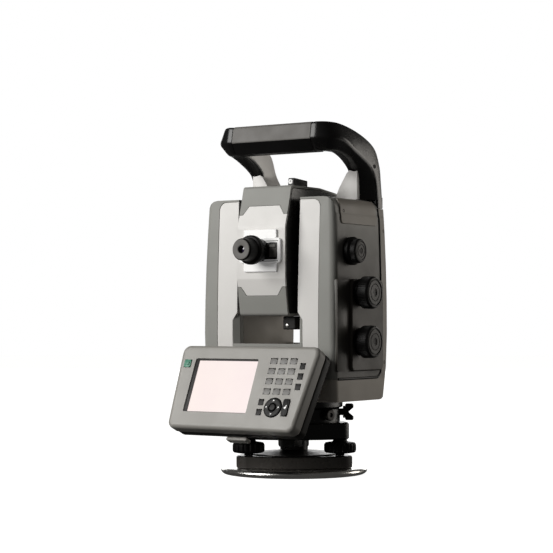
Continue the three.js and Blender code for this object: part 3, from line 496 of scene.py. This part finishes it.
def rounded(profile):
    """Rounds the corners of an open profile of (radius, along, fillet) points."""
    corners = [Vector(point[:2]) for point in profile]
    points = [corners[0]]
    for i in range(1, len(profile) - 1):
        if len(profile[i]) > 2:
            points += bend(corners[i - 1], corners[i], corners[i + 1], profile[i][2], 0.49)
        else:
            points.append(corners[i])
    return points + [corners[-1]]


def soft_ring(corners, fillets):
    """A closed ring of points through corners in space, each rounded by its fillet."""
    ring = []
    for i, here in enumerate(corners):
        ring += bend(corners[i - 1], here, corners[(i + 1) % len(corners)], fillets[i], 0.45)
    return ring


def round_corners(corners, radius, steps=5):
    """A closed outline of corners with each corner rounded by an arc."""
    points = []
    count = len(corners)
    for i, corner in enumerate(corners):
        here = Vector(corner)
        into = (Vector(corners[i - 1]) - here).normalized()
        out = (Vector(corners[(i + 1) % count]) - here).normalized()
        half = into.angle(out) / 2
        reach = radius / math.tan(half)
        centre = here + (into + out).normalized() * (radius / math.sin(half))
        start = here + into * reach - centre
        end = here + out * reach - centre
        sweep_angle = start.angle_signed(end)
        for k in range(steps + 1):
            turn = -sweep_angle * k / steps
            points.append((centre.x + start.x * math.cos(turn) - start.y * math.sin(turn),
                           centre.y + start.x * math.sin(turn) + start.y * math.cos(turn)))
    return points


def box_corners(x0, y0, x1, y1):
    return [(x0, y0), (x1, y0), (x1, y1), (x0, y1)]


def smooth_path(points, steps):
    """Points of a smooth curve through the given ones."""
    path = []
    count = len(points)
    for i in range(count - 1):
        p0 = Vector(points[max(i - 1, 0)])
        p1 = Vector(points[i])
        p2 = Vector(points[i + 1])
        p3 = Vector(points[min(i + 2, count - 1)])
        for k in range(steps):
            t = k / steps
            path.append(0.5 * (2 * p1 + (p2 - p0) * t + (2 * p0 - 5 * p1 + 4 * p2 - p3) * t ** 2
                               + (3 * p1 - p0 - 3 * p2 + p3) * t ** 3))
    path.append(Vector(points[-1]))
    return path


def lathe(profile, place, segments=96, ribs=None):
    """Turns a profile of (radius, along, fillet) in millimetres about the third axis of place.

    A profile that leaves the axis free is closed into a ring. ribs is (low, high, count, depth,
    duty): between those heights the radius drops by depth in count grooves.
    """
    bm = bmesh.new()
    rings = []
    for radius, along in rounded(profile):
        if radius < 1e-6:
            rings.append([bm.verts.new((0, 0, along * MM))])
            continue
        ring = []
        for k in range(segments):
            reach = radius
            if ribs and ribs[0] <= along <= ribs[1]:
                _, _, count, depth, duty = ribs
                phase = (k * count / segments) % 1.0
                groove = (0.5 + 0.5 * math.cos(2 * math.pi * phase) - duty) * 3
                reach -= depth * min(1.0, max(0.0, groove))
            turn = 2 * math.pi * k / segments
            corner = Vector((reach * math.cos(turn), reach * math.sin(turn), along))
            ring.append(bm.verts.new(corner * MM))
        rings.append(ring)
    pairs = list(zip(rings, rings[1:]))
    if len(rings[0]) > 1 and len(rings[-1]) > 1:
        pairs.append((rings[-1], rings[0]))
    for low, high in pairs:
        for k in range(segments):
            after = (k + 1) % segments
            corners = [low[k % len(low)], low[after % len(low)]]
            corners += [high[after % len(high)], high[k % len(high)]]
            unique = list(dict.fromkeys(corners))
            if len(unique) > 2:
                bm.faces.new(unique)
    return mesh_of(bm, place)


def slab(outlines, low, high, place, bevel=0.0):
    """Outlines of (a, b) in millimetres, raised from low to high along the third axis of place."""
    bm = bmesh.new()
    for outline in outlines:
        bottom = [bm.verts.new((a * MM, b * MM, low * MM)) for a, b in outline]
        top = [bm.verts.new((a * MM, b * MM, high * MM)) for a, b in outline]
        bm.faces.new(reversed(bottom))
        bm.faces.new(top)
        for k in range(len(outline)):
            after = (k + 1) % len(outline)
            bm.faces.new((bottom[k], bottom[after], top[after], top[k]))
    if bevel > 0:
        rims = [e for e in bm.edges if abs(e.verts[0].co.z - e.verts[1].co.z) < 0.001 * MM]
        bmesh.ops.bevel(bm, geom=rims, offset=bevel * MM, segments=3, profile=0.5,
                        affect="EDGES", clamp_overlap=True)
    return mesh_of(bm, place)


def sweep(points, radius, sides=10):
    """A round bead of the given radius in metres along a list of points, closed at both ends."""
    bm = bmesh.new()
    rings = []
    turns = [2 * math.pi * k / sides for k in range(sides)]
    circle = [Vector((radius * math.cos(turn), radius * math.sin(turn), 0)) for turn in turns]
    for i, point in enumerate(points):
        ahead = points[min(i + 1, len(points) - 1)] - points[max(i - 1, 0)]
        across = ahead.to_track_quat("Z", "Y").to_matrix()
        rings.append([bm.verts.new(point + across @ spoke) for spoke in circle])
    for low, high in zip(rings, rings[1:]):
        twist = min(range(sides), key=lambda s: (low[0].co - high[s].co).length)
        for k in range(sides):
            after = (k + 1) % sides
            bm.faces.new((low[k], low[after], high[(after + twist) % sides], high[(k + twist) % sides]))
    bm.faces.new(reversed(rings[0]))
    bm.faces.new(rings[-1])
    return mesh_of(bm, about("+z"))


def loft(rings, side, angle):
    """A skin over closed rings of points in millimetres, mirrored for side -1 and capped."""
    bm = bmesh.new()
    laid = [[bm.verts.new((side * p.x * MM, p.y * MM, p.z * MM)) for p in ring] for ring in rings]
    for low, high in zip(laid, laid[1:]):
        for k in range(len(low)):
            after = (k + 1) % len(low)
            bm.faces.new((low[k], low[after], high[after], high[k]))
    bm.faces.new(laid[0])
    bm.faces.new(laid[-1])
    return mesh_of(bm, about("+z"), angle)


# --- pieces of the base -------------------------------------------------------------------


def make_base_pieces():
    plate = lathe([
        (30, 0), (80.8, 0, 2.2), (84, 2.9, 2.4), (84, 5.2, 2.4), (81.4, 8, 2.0), (30, 8),
    ], about("+z"), segments=192)
    piece("head_plate_turned", plate, "base", "anodised_plate", "head_plate")

    for number in (1, 2, 3):
        node = f"footscrew_{number}"
        at = middle(node)
        turned = lathe([
            (0, 22.8), (5, 22.8), (5, 25.4), (13, 25.4, 0.6), (17.2, 26.2, 1.2), (18.3, 28.2, 1.2),
            (18.3, 35.0, 1.2), (16.9, 37.4, 1.2), (9.4, 38.3, 0.6), (8, 39.4, 0.4), (8, 40.6), (0, 40.6),
        ], about("+z", at.x, at.y), segments=180, ribs=(27.0, 36.4, 20, 1.0, 0.35))
        piece(node + "_turned", turned, node, "black_rubber", node)

    at = middle("circular_level")
    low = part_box("circular_level")[0].z / MM
    level = about("+z", at.x, at.y)
    housing = lathe([
        (5.2, low), (7.5, low, 0.3), (7.5, low + 4.6, 0.5), (6.6, low + 5.6, 0.4), (5.2, low + 5.6, 0.2),
    ], level)
    piece("level_housing", housing, "base", "dark_metal", "circular_level")
    vial = lathe([
        (0, low), (5.1, low), (5.1, low + 4.8, 0.4), (3.6, low + 5.6, 1.0), (0, low + 5.9),
    ], level)
    glass = piece("level_vial", vial, "base", "coated_glass")
    glass.data.materials[0] = FINISHES["level_fluid"]
    mark = lathe([(2.3, low + 5.4), (2.7, low + 5.4), (2.7, low + 5.95), (2.3, low + 5.98)], level)
    piece("level_mark", mark, "base", "black_paint")
    bubble = lathe([(0, low + 5.3), (1.8, low + 5.5, 0.3), (1.5, low + 6.1, 0.4), (0, low + 6.2)], level)
    piece("level_bubble", bubble, "base", "white_plate")


# --- the handle ---------------------------------------------------------------------------

# Ridges of the right half of the handle, from the end of the grip to the top of the standard, in
# millimetres: upper outer, middle outer, lower outer, lower inner, middle inner and upper inner.
HANDLE_RIDGES = [
    [(53.9, -46.5, 398.6), (61, -45.8, 399), (70, -38.5, 399), (74.5, -22, 398.2), (75.5, 6, 394.2),
     (77.3, 33, 386), (79.6, 50.5, 374.5), (82.8, 56.2, 354), (83.8, 57.6, 338), (84.4, 58.6, 326),
     (84.8, 59.6, 314.6)],
    [(53.9, -50, 380), (62, -49.3, 380), (76, -41.5, 380), (83, -23, 378), (84, 3, 366), (84.3, 24, 357),
     (84.4, 37, 349), (84.6, 42.5, 339), (84.8, 44.4, 330), (84.9, 45.1, 322), (84.9, 45.4, 314.6)],
    [(53.9, -41, 367), (59, -40.2, 366.8), (68.5, -33, 366.4), (73.5, -20, 365.6), (74, 0, 359.5),
     (74, 12, 353.5), (74, 20, 347.5), (73.8, 23.4, 340), (73.6, 24, 332), (73.4, 24, 324),
     (73.4, 24, 314.6)],
    [(53.9, -20, 367), (55.5, -19, 367), (57, -16, 366.8), (57.8, -9, 366.2), (58, 2, 362.5),
     (58.2, 13, 356.5), (58.6, 20.5, 350.5), (58.8, 22.9, 345), (53.4, 22.9, 336.5), (47.2, 22.9, 326),
     (43, 22.9, 314.6)],
    [(53.9, -14.5, 376), (55, -13, 376), (56.5, -9, 376), (58, 0, 374.5), (58.4, 14, 370.5),
     (58.9, 28, 364), (59, 36, 356), (58.8, 40, 346), (53.4, 40, 336.5), (47.2, 40, 326), (43, 40, 314.6)],
    [(53.9, -18, 397), (55.5, -16, 397), (58, -10, 396.5), (60, 0, 394.5), (61, 16, 389.5),
     (62, 34, 381), (62.5, 48, 371), (60.8, 55, 351), (55.2, 56.5, 338), (47.8, 57.8, 326),
     (43, 59.4, 314.6)],
]
MIDDLE_OUTER = HANDLE_RIDGES[1]
INNER_RIDGES = HANDLE_RIDGES[3:]
RIDGE_STEPS = 5
ARM_OUTSIDE, ARM_INSIDE, ARM_BACK = 84.8, 43, 59.6
GRIP_SECTION = [(-20, 367), (-41, 367), (-50, 380), (-46.5, 399), (-18, 397), (-14.5, 376)]
GRIP_HALF = 53.0


def handle_arm(side):
    """Half of the handle's frame as a loft along its ridges, on the right for side 1."""
    stations = list(zip(*[smooth_path(ridge, RIDGE_STEPS) for ridge in HANDLE_RIDGES]))
    rings = []
    for number, corners in enumerate(stations):
        along = number / (len(stations) - 1)
        fillets = [3.0 + 1.5 * along, 3.0 + 2.0 * along, 3.0 + 6.0 * along, 2.5, 3.0, 3.0]
        rings.append(soft_ring(corners, fillets))
    return loft(rings, side, 50)


def handle_liner(side):
    """The light inner face of an arm, let into the frame from the foot up to the grip."""
    first, last = 8, 41
    half_thick = 0.6
    stations = list(zip(*[smooth_path(ridge, RIDGE_STEPS) for ridge in INNER_RIDGES]))
    rings = []
    for low, centre, high in stations[first:last]:
        face = [low.lerp(high, 0.08), centre, high.lerp(low, 0.06)]
        ring = [Vector((p.x - half_thick, p.y, p.z)) for p in face]
        ring += [Vector((p.x + half_thick, p.y, p.z)) for p in reversed(face)]
        rings.append(ring)
    return loft(rings, side, 30)


def handle_foot(side):
    """The light foot round the root of an arm: full height in front, sloping down to the back."""
    root, brow_height, outside = 314.4, 346.2, 72.6
    edge = [(41.9, root), (46.2, 326.2), (58.2, brow_height), (outside, 356.5)]
    stations = [(21.5, 355.6, 0.9), (21.8, 356.2, 0.3), (22.4, 356.5, 0.0),
                (33, 348, 0.0), (45, 337.5, 0.0), (57.4, 327, 0.0)]  # y, top, how far it is drawn in

    def inner(height):
        for (x0, z0), (x1, z1) in zip(edge, edge[1:]):
            if height <= z1:
                return x0 + (x1 - x0) * (height - z0) / (z1 - z0)
        return outside

    rings = []
    for y, top, shrink in stations:
        full = top > brow_height
        brow = min(top, brow_height)
        knee = root + (brow - root) * (0.37 if full else 0.5)
        tip = (outside - shrink, top) if full else (outside, top + 0.01)
        corners = [(edge[0][0] + shrink, root), (outside - shrink, root), tip,
                   (inner(brow) + shrink, brow - shrink), (inner(knee) + shrink, knee)]
        rings.append(soft_ring([Vector((x, y, z)) for x, z in corners], [1.0, 1.0, 2.0, 4.0, 6.0]))
    return loft(rings, side, 30)


def make_handle():
    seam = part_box("side_cover_right")[1].y / MM + 0.6
    bead, bead_inset = 0.9, 0.85
    for hand, side in HANDS:
        piece("handle_arm_" + hand, handle_arm(side), "alidade", "black_paint",
              "handle_frame" if side > 0 else None)
        heel = round_corners(box_corners(side * ARM_OUTSIDE, seam, side * ARM_INSIDE, ARM_BACK), 2.5)
        block = slab([heel], 305.2, 318.0, about("+z"), 0.6)
        piece("handle_heel_" + hand, block, "alidade", "black_paint")
        piece("handle_foot_shell_" + hand, handle_foot(side), "alidade", "light_grey_paint",
              "handle_foot_" + hand)
        piece("handle_liner_" + hand, handle_liner(side), "alidade", "light_grey_paint")
        path = smooth_path(MIDDLE_OUTER[7:], 6)
        joint = [Vector((side * (p.x - bead_inset), p.y, p.z)) * MM for p in path]
        piece("handle_joint_" + hand, sweep(joint, bead * MM), "alidade", "black_rubber")
        spot = Vector((side * 84.2, 41.5, 353.0)) * MM
        screw("handle_screw_" + hand, facing(spot, (side, 0, 0)), 2.3)
    core = round_corners(box_corners(-43, 373, -25, 389), 3)
    piece("handle_core", slab([core], -56, 56, about("+x"), 0.5), "alidade", "black_paint")
    sleeve = slab([round_corners(GRIP_SECTION, 3.5)], -GRIP_HALF, GRIP_HALF, about("+x"), 0.9)
    piece("grip_sleeve", sleeve, "alidade", "grip_rubber", "handle_grip")
    # A black strip over the lower facet of the grip: the black of the frame beneath it, and painted shade
    # under the grip.
    under = [(-20.6, 366.6), (-41.2, 366.6), (-49.9, 379.4), (-47.5, 379.4), (-39, 370.5), (-20.6, 370.5)]
    strip = slab([under], -GRIP_HALF - 0.2, GRIP_HALF + 0.2, about("+x"), 0.4)
    piece("grip_underside_black_and_shade", strip, "alidade", "black_rubber")


# --- seams, screws and the side pad -------------------------------------------------------

OUTSIDE = 0.2  # from here a ray towards the station starts clear of it


def screw(name, place, radius):
    """A dark hexagon socket screw of the alidade, let into the wall at place."""
    head = lathe([
        (radius * 0.45, -1.0), (radius * 0.52, 0.05, 0.05), (radius * 0.9, 0.15, 0.15),
        (radius, -0.15, 0.1), (radius, -1.0),
    ], place, segments=48)
    piece(name, head, "alidade", "black_rubber")
    reach = radius * 0.55
    turns = [math.radians(60 * k) for k in range(6)]
    hexagon = [(reach * math.cos(turn), reach * math.sin(turn)) for turn in turns]
    piece(name + "_socket", slab([hexagon], -1.4, -0.7, place), "alidade", "dark_plastic")


def side_screw(name, node, side, y, z, radius):
    """A screw in a wall of node that faces side along x."""
    screw(name, facing(*surface_at(node, (side * OUTSIDE, y * MM, z * MM), (-side, 0, 0))), radius)


def back_screw(name, node, x, z, radius):
    """A screw in the rear wall of node."""
    screw(name, facing(*surface_at(node, (x * MM, OUTSIDE, z * MM), (0, -1, 0))), radius)


def seam_track(back, bottom):
    """(y, z) points down the rear edge of a side cover, round its lower corner and forward."""
    top, corner, step_down, step_forward = 304.0, 8.0, 6, 4
    track = [(back, top - step_down * k) for k in range(31)]
    for degrees in range(0, 91, 10):
        turn = math.radians(degrees)
        track.append((back - corner + corner * math.cos(turn), bottom + corner - corner * math.sin(turn)))
    return track + [(back - corner - step_forward * k, bottom) for k in range(1, 22)]


def make_seams():
    """The black gasket between each side cover and its standard, and the walls' screws."""
    clear, inward, bead, depth = 0.15, 1.0, 1.6, 0.4
    for hand, side in HANDS:
        node = "side_cover_" + hand
        low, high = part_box(node)
        back = high.y / MM + clear
        bottom = low.z / MM - clear
        points = []
        for y, z in seam_track(back, bottom):
            origin = (side * OUTSIDE, min(y, back - inward) * MM, max(z, bottom + inward) * MM)
            point, _ = surface_at(node, origin, (-side, 0, 0))
            if point is not None:
                points.append(Vector((point.x - side * depth * MM, y * MM, z * MM)))
        piece("gasket_" + hand, sweep(points, bead * MM), "alidade", "black_rubber")
        side_screw("cap_screw_front_" + hand, "top_cap_" + hand, side, -33, 298, 2.1)
        side_screw("rear_screw_" + hand, "standard_" + hand, side, 54.5, 279, 2.0)
        side_screw("rear_low_screw_" + hand, "standard_" + hand, side, 53.0, 128, 2.0)
        back_screw("back_screw_top_" + hand, "standard_" + hand, side * 74, 292, 2.2)
        back_screw("back_screw_low_" + hand, "standard_" + hand, side * 74, 104, 2.2)


def make_side_pad():
    """The low step of the right wall that runs forward from the knob panel."""
    front, inside, outside = -52.8, 86.0, 91.2
    low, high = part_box("knob_panel")
    face = round_corners(box_corners(front, low.z / MM, low.y / MM - 0.4, high.z / MM), 2.5)
    piece("side_pad", slab([face], inside, outside, about("+x"), 0.7), "alidade", "medium_grey_paint")


# --- the side knobs -----------------------------------------------------------------------


def make_knobs():
    for node in ("vertical_tangent_knob", "horizontal_tangent_knob"):
        at = middle(node)
        axis = about("+x", 0, at.y, at.z)
        turned = lathe([
            (0, 86), (6, 86), (6, 94.9), (14.6, 94.9, 0.5), (15.6, 95.8, 0.5), (15.6, 100.4, 0.3),
            (17.6, 101.0, 0.5), (18.2, 101.8, 0.5), (18.2, 112.2, 0.7), (16.9, 114.6, 0.9),
            (15.2, 115.0, 0.3), (14.9, 113.9, 0.2), (13.9, 113.9), (0, 113.9),
        ], axis, segments=324, ribs=(101.5, 112.4, 54, 0.55, 0.3))
        piece(node + "_turned", turned, node, "black_rubber", node)
        face = lathe([
            (0, 113.6), (13.9, 113.6), (13.9, 114.5, 0.3), (13.2, 114.8, 0.2), (9.9, 114.8, 0.1),
            (9.6, 114.3, 0.1), (9.2, 114.3, 0.1), (8.9, 114.8, 0.1), (4.4, 114.8, 0.2), (4.0, 114.2, 0.2),
            (2.9, 114.2, 0.2), (2.6, 112.9), (0, 112.9),
        ], axis, segments=128)
        piece(node + "_face", face, node, "dark_plastic")
        hole = lathe([
            (0, 112.9), (2.5, 112.95), (2.5, 113.6, 0.2), (1.4, 114.0, 0.2), (0, 113.8),
        ], axis, segments=48)
        piece(node + "_centre", hole, node, "black_rubber")

    at = middle("focus_knob")
    axis = about("+x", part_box("focus_knob")[0].x, at.y, at.z)
    turned = lathe([
        (0, 0), (15.4, 0, 0.3), (15.9, 1.2, 0.5), (15.9, 5.6, 1.0), (14.0, 7.0, 0.6), (13.6, 7.6, 0.3),
        (13.6, 12.8, 0.9), (12.4, 14.2, 0.8), (10.8, 14.5, 0.3), (10.4, 13.6, 0.2), (0, 13.6),
    ], axis, segments=216, ribs=(7.4, 12.9, 36, 0.4, 0.35))
    piece("focus_knob_turned", turned, "focus_knob", "black_rubber", "focus_knob")
    face = lathe([
        (0, 13.2), (10.2, 13.2), (10.2, 14.0, 0.3), (7.6, 14.3, 0.2), (7.3, 13.8, 0.1), (6.7, 13.8, 0.1),
        (6.4, 14.3, 0.2), (3.4, 14.3, 0.2), (3.0, 13.5, 0.2), (0, 13.4),
    ], axis)
    piece("focus_knob_face", face, "focus_knob", "dark_plastic")
    hole = lathe([(0, 13.3), (2.2, 13.35), (2.2, 14.0, 0.2), (0, 14.3)], axis, segments=48)
    piece("focus_knob_centre", hole, "focus_knob", "black_rubber")


# --- the rear and the battery door --------------------------------------------------------


def make_rear():
    """Glass of the rear display, and ribs on the battery door."""
    margin, width, height = 6.4, 45.2, 23.2
    low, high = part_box("rear_display_frame")
    left = low.x / MM + margin
    bottom = low.z / MM + margin
    face = high.y / MM
    pane = round_corners(box_corners(-left - width, bottom, -left, bottom + height), 1.8)
    glass = slab([pane], face - 2.4, face - 0.8, about("back"), 0.2)
    piece("rear_display_glass", glass, "alidade", "coated_glass")

    door_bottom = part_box("battery_door")[0].z
    rib_ends = (-17 * MM, 19 * MM)
    for k in range(5):
        z = door_bottom + (18 + 7 * k) * MM
        start, end = [surface_at("battery_door", (-OUTSIDE, y, z), (1, 0, 0))[0] for y in rib_ends]
        rib = sweep([start.lerp(end, t / 8) for t in range(9)], 0.9 * MM)
        piece(f"battery_door_rib_{k + 1}", rib, "battery_door", "medium_grey_paint")


# --- pieces of the telescope --------------------------------------------------------------


def make_eyepiece(telescope):
    ring = lathe([
        (3.9, -102), (4.2, -106.9, 0.4), (4.6, -107.6, 0.3), (6.0, -107.8, 0.3), (11.4, -107.8, 0.8),
        (12.4, -106.2, 0.8), (12.6, -98.0, 0.5), (13.0, -92.6, 0.6), (15.4, -91.8, 0.6), (16.5, -90.6, 0.6),
        (16.5, -86.2, 0.6), (15.6, -85.0, 0.4), (13.4, -84.6, 0.2), (13.2, -79.0), (3.9, -79.0),
    ], telescope, segments=264, ribs=(-91.0, -85.8, 44, 0.6, 0.35))
    piece("eyepiece_ring_turned", ring, "eyepiece_ring", "black_rubber", "eyepiece_ring")
    rim = lathe([(4.2, -107.4), (4.7, -107.95, 0.2), (10.8, -108.25, 0.4), (11.3, -107.6)], telescope)
    piece("eyepiece_rim", rim, "eyepiece_ring", "grip_rubber")
    pupil = lathe([
        (0, -102.9), (2.2, -102.85, 0.5), (3.8, -102.8), (3.8, -102.2), (0, -102.2),
    ], telescope, segments=64)
    piece("eyepiece_pupil", pupil, "eyepiece_ring", "coated_glass")


def make_window(axis):
    """The dark window beside the eyepiece, its bars and the plate's grooves.

    axis is the height of the telescope's axis in millimetres.
    """
    face, _ = surface_at("eyepiece_plate", (22.5 * MM, -OUTSIDE, (axis + 1) * MM), (0, 1, 0))
    front = -face.y / MM
    place = about("front")
    pane = round_corners(box_corners(2, axis - 10.4, 24, axis + 8.6), 0.8)
    piece("window_pane", slab([pane], front - 0.5, front + 0.25, place, 0.1), "telescope", "dark_plastic")
    small = box_corners(14.0, axis + 3.2, 21.0, axis + 6.2)
    large = box_corners(13.6, axis - 7.8, 22.8, axis + 2.4)
    for number, bar, slot in ((1, small, "medium_grey_paint"), (2, large, "grip_rubber")):
        raised = slab([bar], front, front + 0.45, place, 0.15)
        piece(f"window_bar_{number}", raised, "telescope", slot)
    grooves = [box_corners(4, z, 25.4, z + 0.7) for z in (axis + 10.0, axis - 12.4)]
    piece("window_grooves", slab(grooves, front - 0.5, front + 0.12, place), "telescope", "black_rubber")


def make_telescope_pieces():
    at = middle("eyepiece_ring")
    telescope = about("+y", at.x, 0, at.z)
    make_eyepiece(telescope)
    make_window(at.z / MM)

    low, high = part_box("objective_lens")
    near = low.y / MM
    far = high.y / MM
    lens = lathe([
        (0, near), (24.2, near), (24.2, far - 3.4, 0.3), (21, far - 1.9, 2), (12, far - 0.5, 4), (0, far),
    ], telescope, segments=128)
    piece("objective_glass", lens, "telescope", "coated_glass", "objective_lens")
    bezel = lathe([
        (24.3, far - 1.5), (24.6, 91.6, 0.2), (27.4, 92.2, 0.4), (28.6, 91.2, 0.4), (28.6, 80.4, 0.4),
        (27.1, 79.8, 0.2), (27.1, far - 1.5),
    ], telescope, segments=240, ribs=(80.8, 90.8, 60, 0.5, 0.35))
    piece("objective_bezel", bezel, "telescope", "dark_plastic")

    sight_height = 78.8 * MM
    low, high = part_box("collimator_sight")
    tip = lathe([
        (1.3, 3), (1.3, -0.5, 0.1), (2.3, -0.6, 0.2), (2.9, -0.1, 0.2), (2.9, 0.6), (2.35, 3),
    ], about("+y", (low.x + high.x) / 2, low.y, at.z + sight_height), segments=64)
    piece("sight_tip", tip, "telescope", "white_plate")

    low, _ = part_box("lower_bracket")
    stud = lathe([
        (0, 0.5), (2.3, 0.5), (2.3, -0.5, 0.3), (1.7, -1.1, 0.4), (0, -1.2),
    ], about("+y", low.x + 6.2 * MM, low.y, low.z + 4.6 * MM), segments=48)
    piece("bracket_stud", stud, "telescope", "bright_steel")


# --- pieces of the control unit -----------------------------------------------------------

KEY_BOTTOM = -4.0
KEY_TOP = 4.95
KEY_CORNER = 1.4
KEY_BEVEL = 0.85
ARROW = [(8.9, 0), (7.3, 1.2), (7.3, -1.2)]


def key_outline(x, y, half_width, half_height, corner=KEY_CORNER):
    corners = box_corners(x - half_width, y - half_height, x + half_width, y + half_height)
    return round_corners(corners, corner)


def make_plain_keys(out):
    keys = [key_outline(x, y, 4.3, 3.2) for x in (-12.9, 0, 12.9) for y in (-18, -6, 6, 18)]
    mesh = slab(keys, KEY_BOTTOM, KEY_TOP, facing(middle("number_keypad"), out), KEY_BEVEL)
    piece("number_keys", mesh, "number_keypad", "key_rubber", "number_keypad")
    for node, rows in (("side_keys", (-12.15, 0, 12.15)), ("lower_keys", (-5.85, 5.85))):
        keys = [key_outline(0, y, 3.2, 3.4) for y in rows]
        mesh = slab(keys, KEY_BOTTOM, KEY_TOP, facing(middle(node), out), KEY_BEVEL)
        piece(node + "_shaped", mesh, node, SLOT_OF[node], node)


def make_enter_key(out):
    top = 4.3
    place = facing(middle("enter_key"), out)
    key = slab([key_outline(0, 0, 3.7, 9.8, 1.6)], -3.0, top, place, 0.8)
    piece("enter_key_shaped", key, "enter_key", SLOT_OF["enter_key"], "enter_key")
    hook = [(-1.6, -0.6), (0.6, -2.4), (0.6, -1.1), (1.7, -1.1), (1.7, 2.4), (0.9, 2.4), (0.9, -0.2),
            (0.6, -0.2), (0.6, 1.2)]
    piece("enter_mark", slab([hook], top - 0.1, top + 0.1, place), "enter_key", "white_plate")


def make_power_key(out):
    place = facing(middle("power_key"), out)
    key = slab([key_outline(0, 0, 4.5, 4.5, 1.6)], -3.0, 3.9, place, 0.5)
    piece("power_key_shaped", key, "power_key", "green_key", "power_key")
    raised = slab([key_outline(0, 0, 2.3, 2.1, 0.8)], 3.6, 4.6, place, 0.35)
    piece("power_key_raise", raised, "power_key", "green_key")


def make_direction_pad(out):
    slot = SLOT_OF["direction_pad"]
    place = facing(middle("direction_pad"), out)
    ring = lathe([
        (4.6, 0), (4.6, 3.6, 0.3), (5.3, 4.1, 0.4), (9.6, 4.3, 0.8), (11.2, 3.7, 0.8), (11.4, 2.8, 0.3),
        (11.4, -4.0), (4.6, -4.0),
    ], place, segments=128)
    piece("direction_ring", ring, "direction_pad", slot, "direction_pad")
    button = lathe([
        (0, -4.0), (4.1, -4.0), (4.1, 4.0, 0.5), (3.4, 4.6, 0.5), (0, 4.8),
    ], place, segments=64)
    piece("direction_button", button, "direction_pad", slot)
    arrows = []
    for quarter in range(4):
        turn = Matrix.Rotation(math.radians(90 * quarter), 2)
        arrows.append([tuple(turn @ Vector(corner)) for corner in ARROW])
    piece("direction_marks", slab(arrows, 4.0, 4.45, place), "direction_pad", "white_plate")


def make_unit_pieces():
    press = [j for j in frame["record"]["behaviour"]["joints"] if j["name"] == "number_keypad_press"][0]
    out = -Vector(press["axis"])
    # A dark frame round the display glass: thin on the right and bottom, wide on the left and top, where it
    # paints the shaded inner wall of the display's recess.
    left, inner_left, inner_right, right = -42.9, -38.1, 42.0, 42.9
    bottom, inner_bottom, inner_top, top = -32.4, -31.4, 30.2, 32.4
    strips = [
        box_corners(left, bottom, inner_left, top), box_corners(inner_left, inner_top, right, top),
        box_corners(inner_left, bottom, right, inner_bottom),
        box_corners(inner_right, inner_bottom, right, inner_top),
    ]
    painted_recess_shade = slab(strips, 0.2, 1.5, facing(middle("unit_display"), out), 0.15)
    piece("display_painted_recess_shade", painted_recess_shade, "alidade", "dark_plastic")
    make_plain_keys(out)
    make_enter_key(out)
    make_power_key(out)
    make_direction_pad(out)


# --- lights, floor and backdrop -----------------------------------------------------------


def area_light(name, at, target, size, power, colour):
    data = bpy.data.lights.new(name, "AREA")
    data.shape = "RECTANGLE"
    data.size, data.size_y = size
    data.energy = power
    data.color = colour
    light = bpy.data.objects.new(name, data)
    light.location = at
    light.rotation_mode = "QUATERNION"
    light.rotation_quaternion = (Vector(target) - Vector(at)).to_track_quat("-Z", "Y")
    bpy.context.scene.collection.objects.link(light)


def stage_object(name, bm, material):
    mesh = bpy.data.meshes.new(name)
    bm.to_mesh(mesh)
    bm.free()
    mesh.materials.append(material)
    obj = bpy.data.objects.new(name, mesh)
    bpy.context.scene.collection.objects.link(obj)
    return obj


def make_floor(radius):
    """A pale floor that glows but lights nothing."""
    pale = Shader("pale_floor", 0.9, 0.0, Specular_IOR_Level=0.1, Emission_Strength=1.0)
    cloud = pale.noise(3.0, 3.0)
    pale.feed(pale.mix(cloud, (0.965, 0.965, 0.96), (0.985, 0.985, 0.98)), "Emission Color")
    pale.feed(pale.mix(cloud, (0.40, 0.40, 0.39), (0.43, 0.43, 0.42)), "Base Color")
    bm = bmesh.new()
    bmesh.ops.create_circle(bm, cap_ends=True, radius=radius, segments=96)
    floor = stage_object("floor", bm, pale.material)
    floor.visible_diffuse = False
    floor.visible_glossy = False
    return floor


def make_backdrop(radius):
    """A white dome that only the camera sees."""
    glow = bpy.data.materials.new("backdrop_white")
    glow.use_nodes = True
    nodes = glow.node_tree.nodes
    nodes.clear()
    emission = nodes.new("ShaderNodeEmission")
    emission.inputs["Color"].default_value = (1.0, 1.0, 1.0, 1)
    output = nodes.new("ShaderNodeOutputMaterial")
    glow.node_tree.links.new(emission.outputs[0], output.inputs["Surface"])
    bm = bmesh.new()
    bmesh.ops.create_uvsphere(bm, u_segments=64, v_segments=32, radius=radius)
    bmesh.ops.reverse_faces(bm, faces=bm.faces)
    dome = stage_object("backdrop", bm, glow)
    for ray in ("diffuse", "glossy", "transmission", "volume_scatter", "shadow"):
        setattr(dome, "visible_" + ray, False)
    return dome


def make_stage():
    scene = bpy.context.scene
    scene.view_settings.view_transform = "Standard"
    world = bpy.data.worlds.new("studio")
    world.use_nodes = True
    background = world.node_tree.nodes["Background"]
    background.inputs["Color"].default_value = (1.0, 0.98, 0.95, 1)
    background.inputs["Strength"].default_value = 0.05
    scene.world = world
    room = 7.0
    make_floor(room)
    make_backdrop(room)
    area_light("key", (-1.0, -1.55, 0.95), (0, 0, 0.22), (1.3, 1.3), 40.0, (1.0, 0.99, 0.97))
    area_light("side", (0.95, 1.42, 0.5), (0.03, 0, 0.24), (0.7, 0.9), 5.5, (1.0, 0.95, 0.88))
    area_light("low", (0.75, 0.95, 0.012), (0.75, 0.9501, 1.0), (1.0, 1.0), 6.5, (1.0, 0.96, 0.90))
    area_light("back", (-2.3, 3.4, 0.9), (0, 0, 0.1), (4.0, 1.5), 34.0, (1, 1, 1))


# --- assembly -----------------------------------------------------------------------------

make_camera()
make_stage()
FINISHES = make_finishes()
dress_nodes()
make_base_pieces()
make_handle()
make_seams()
make_side_pad()
make_knobs()
make_rear()
make_telescope_pieces()
make_unit_pieces()
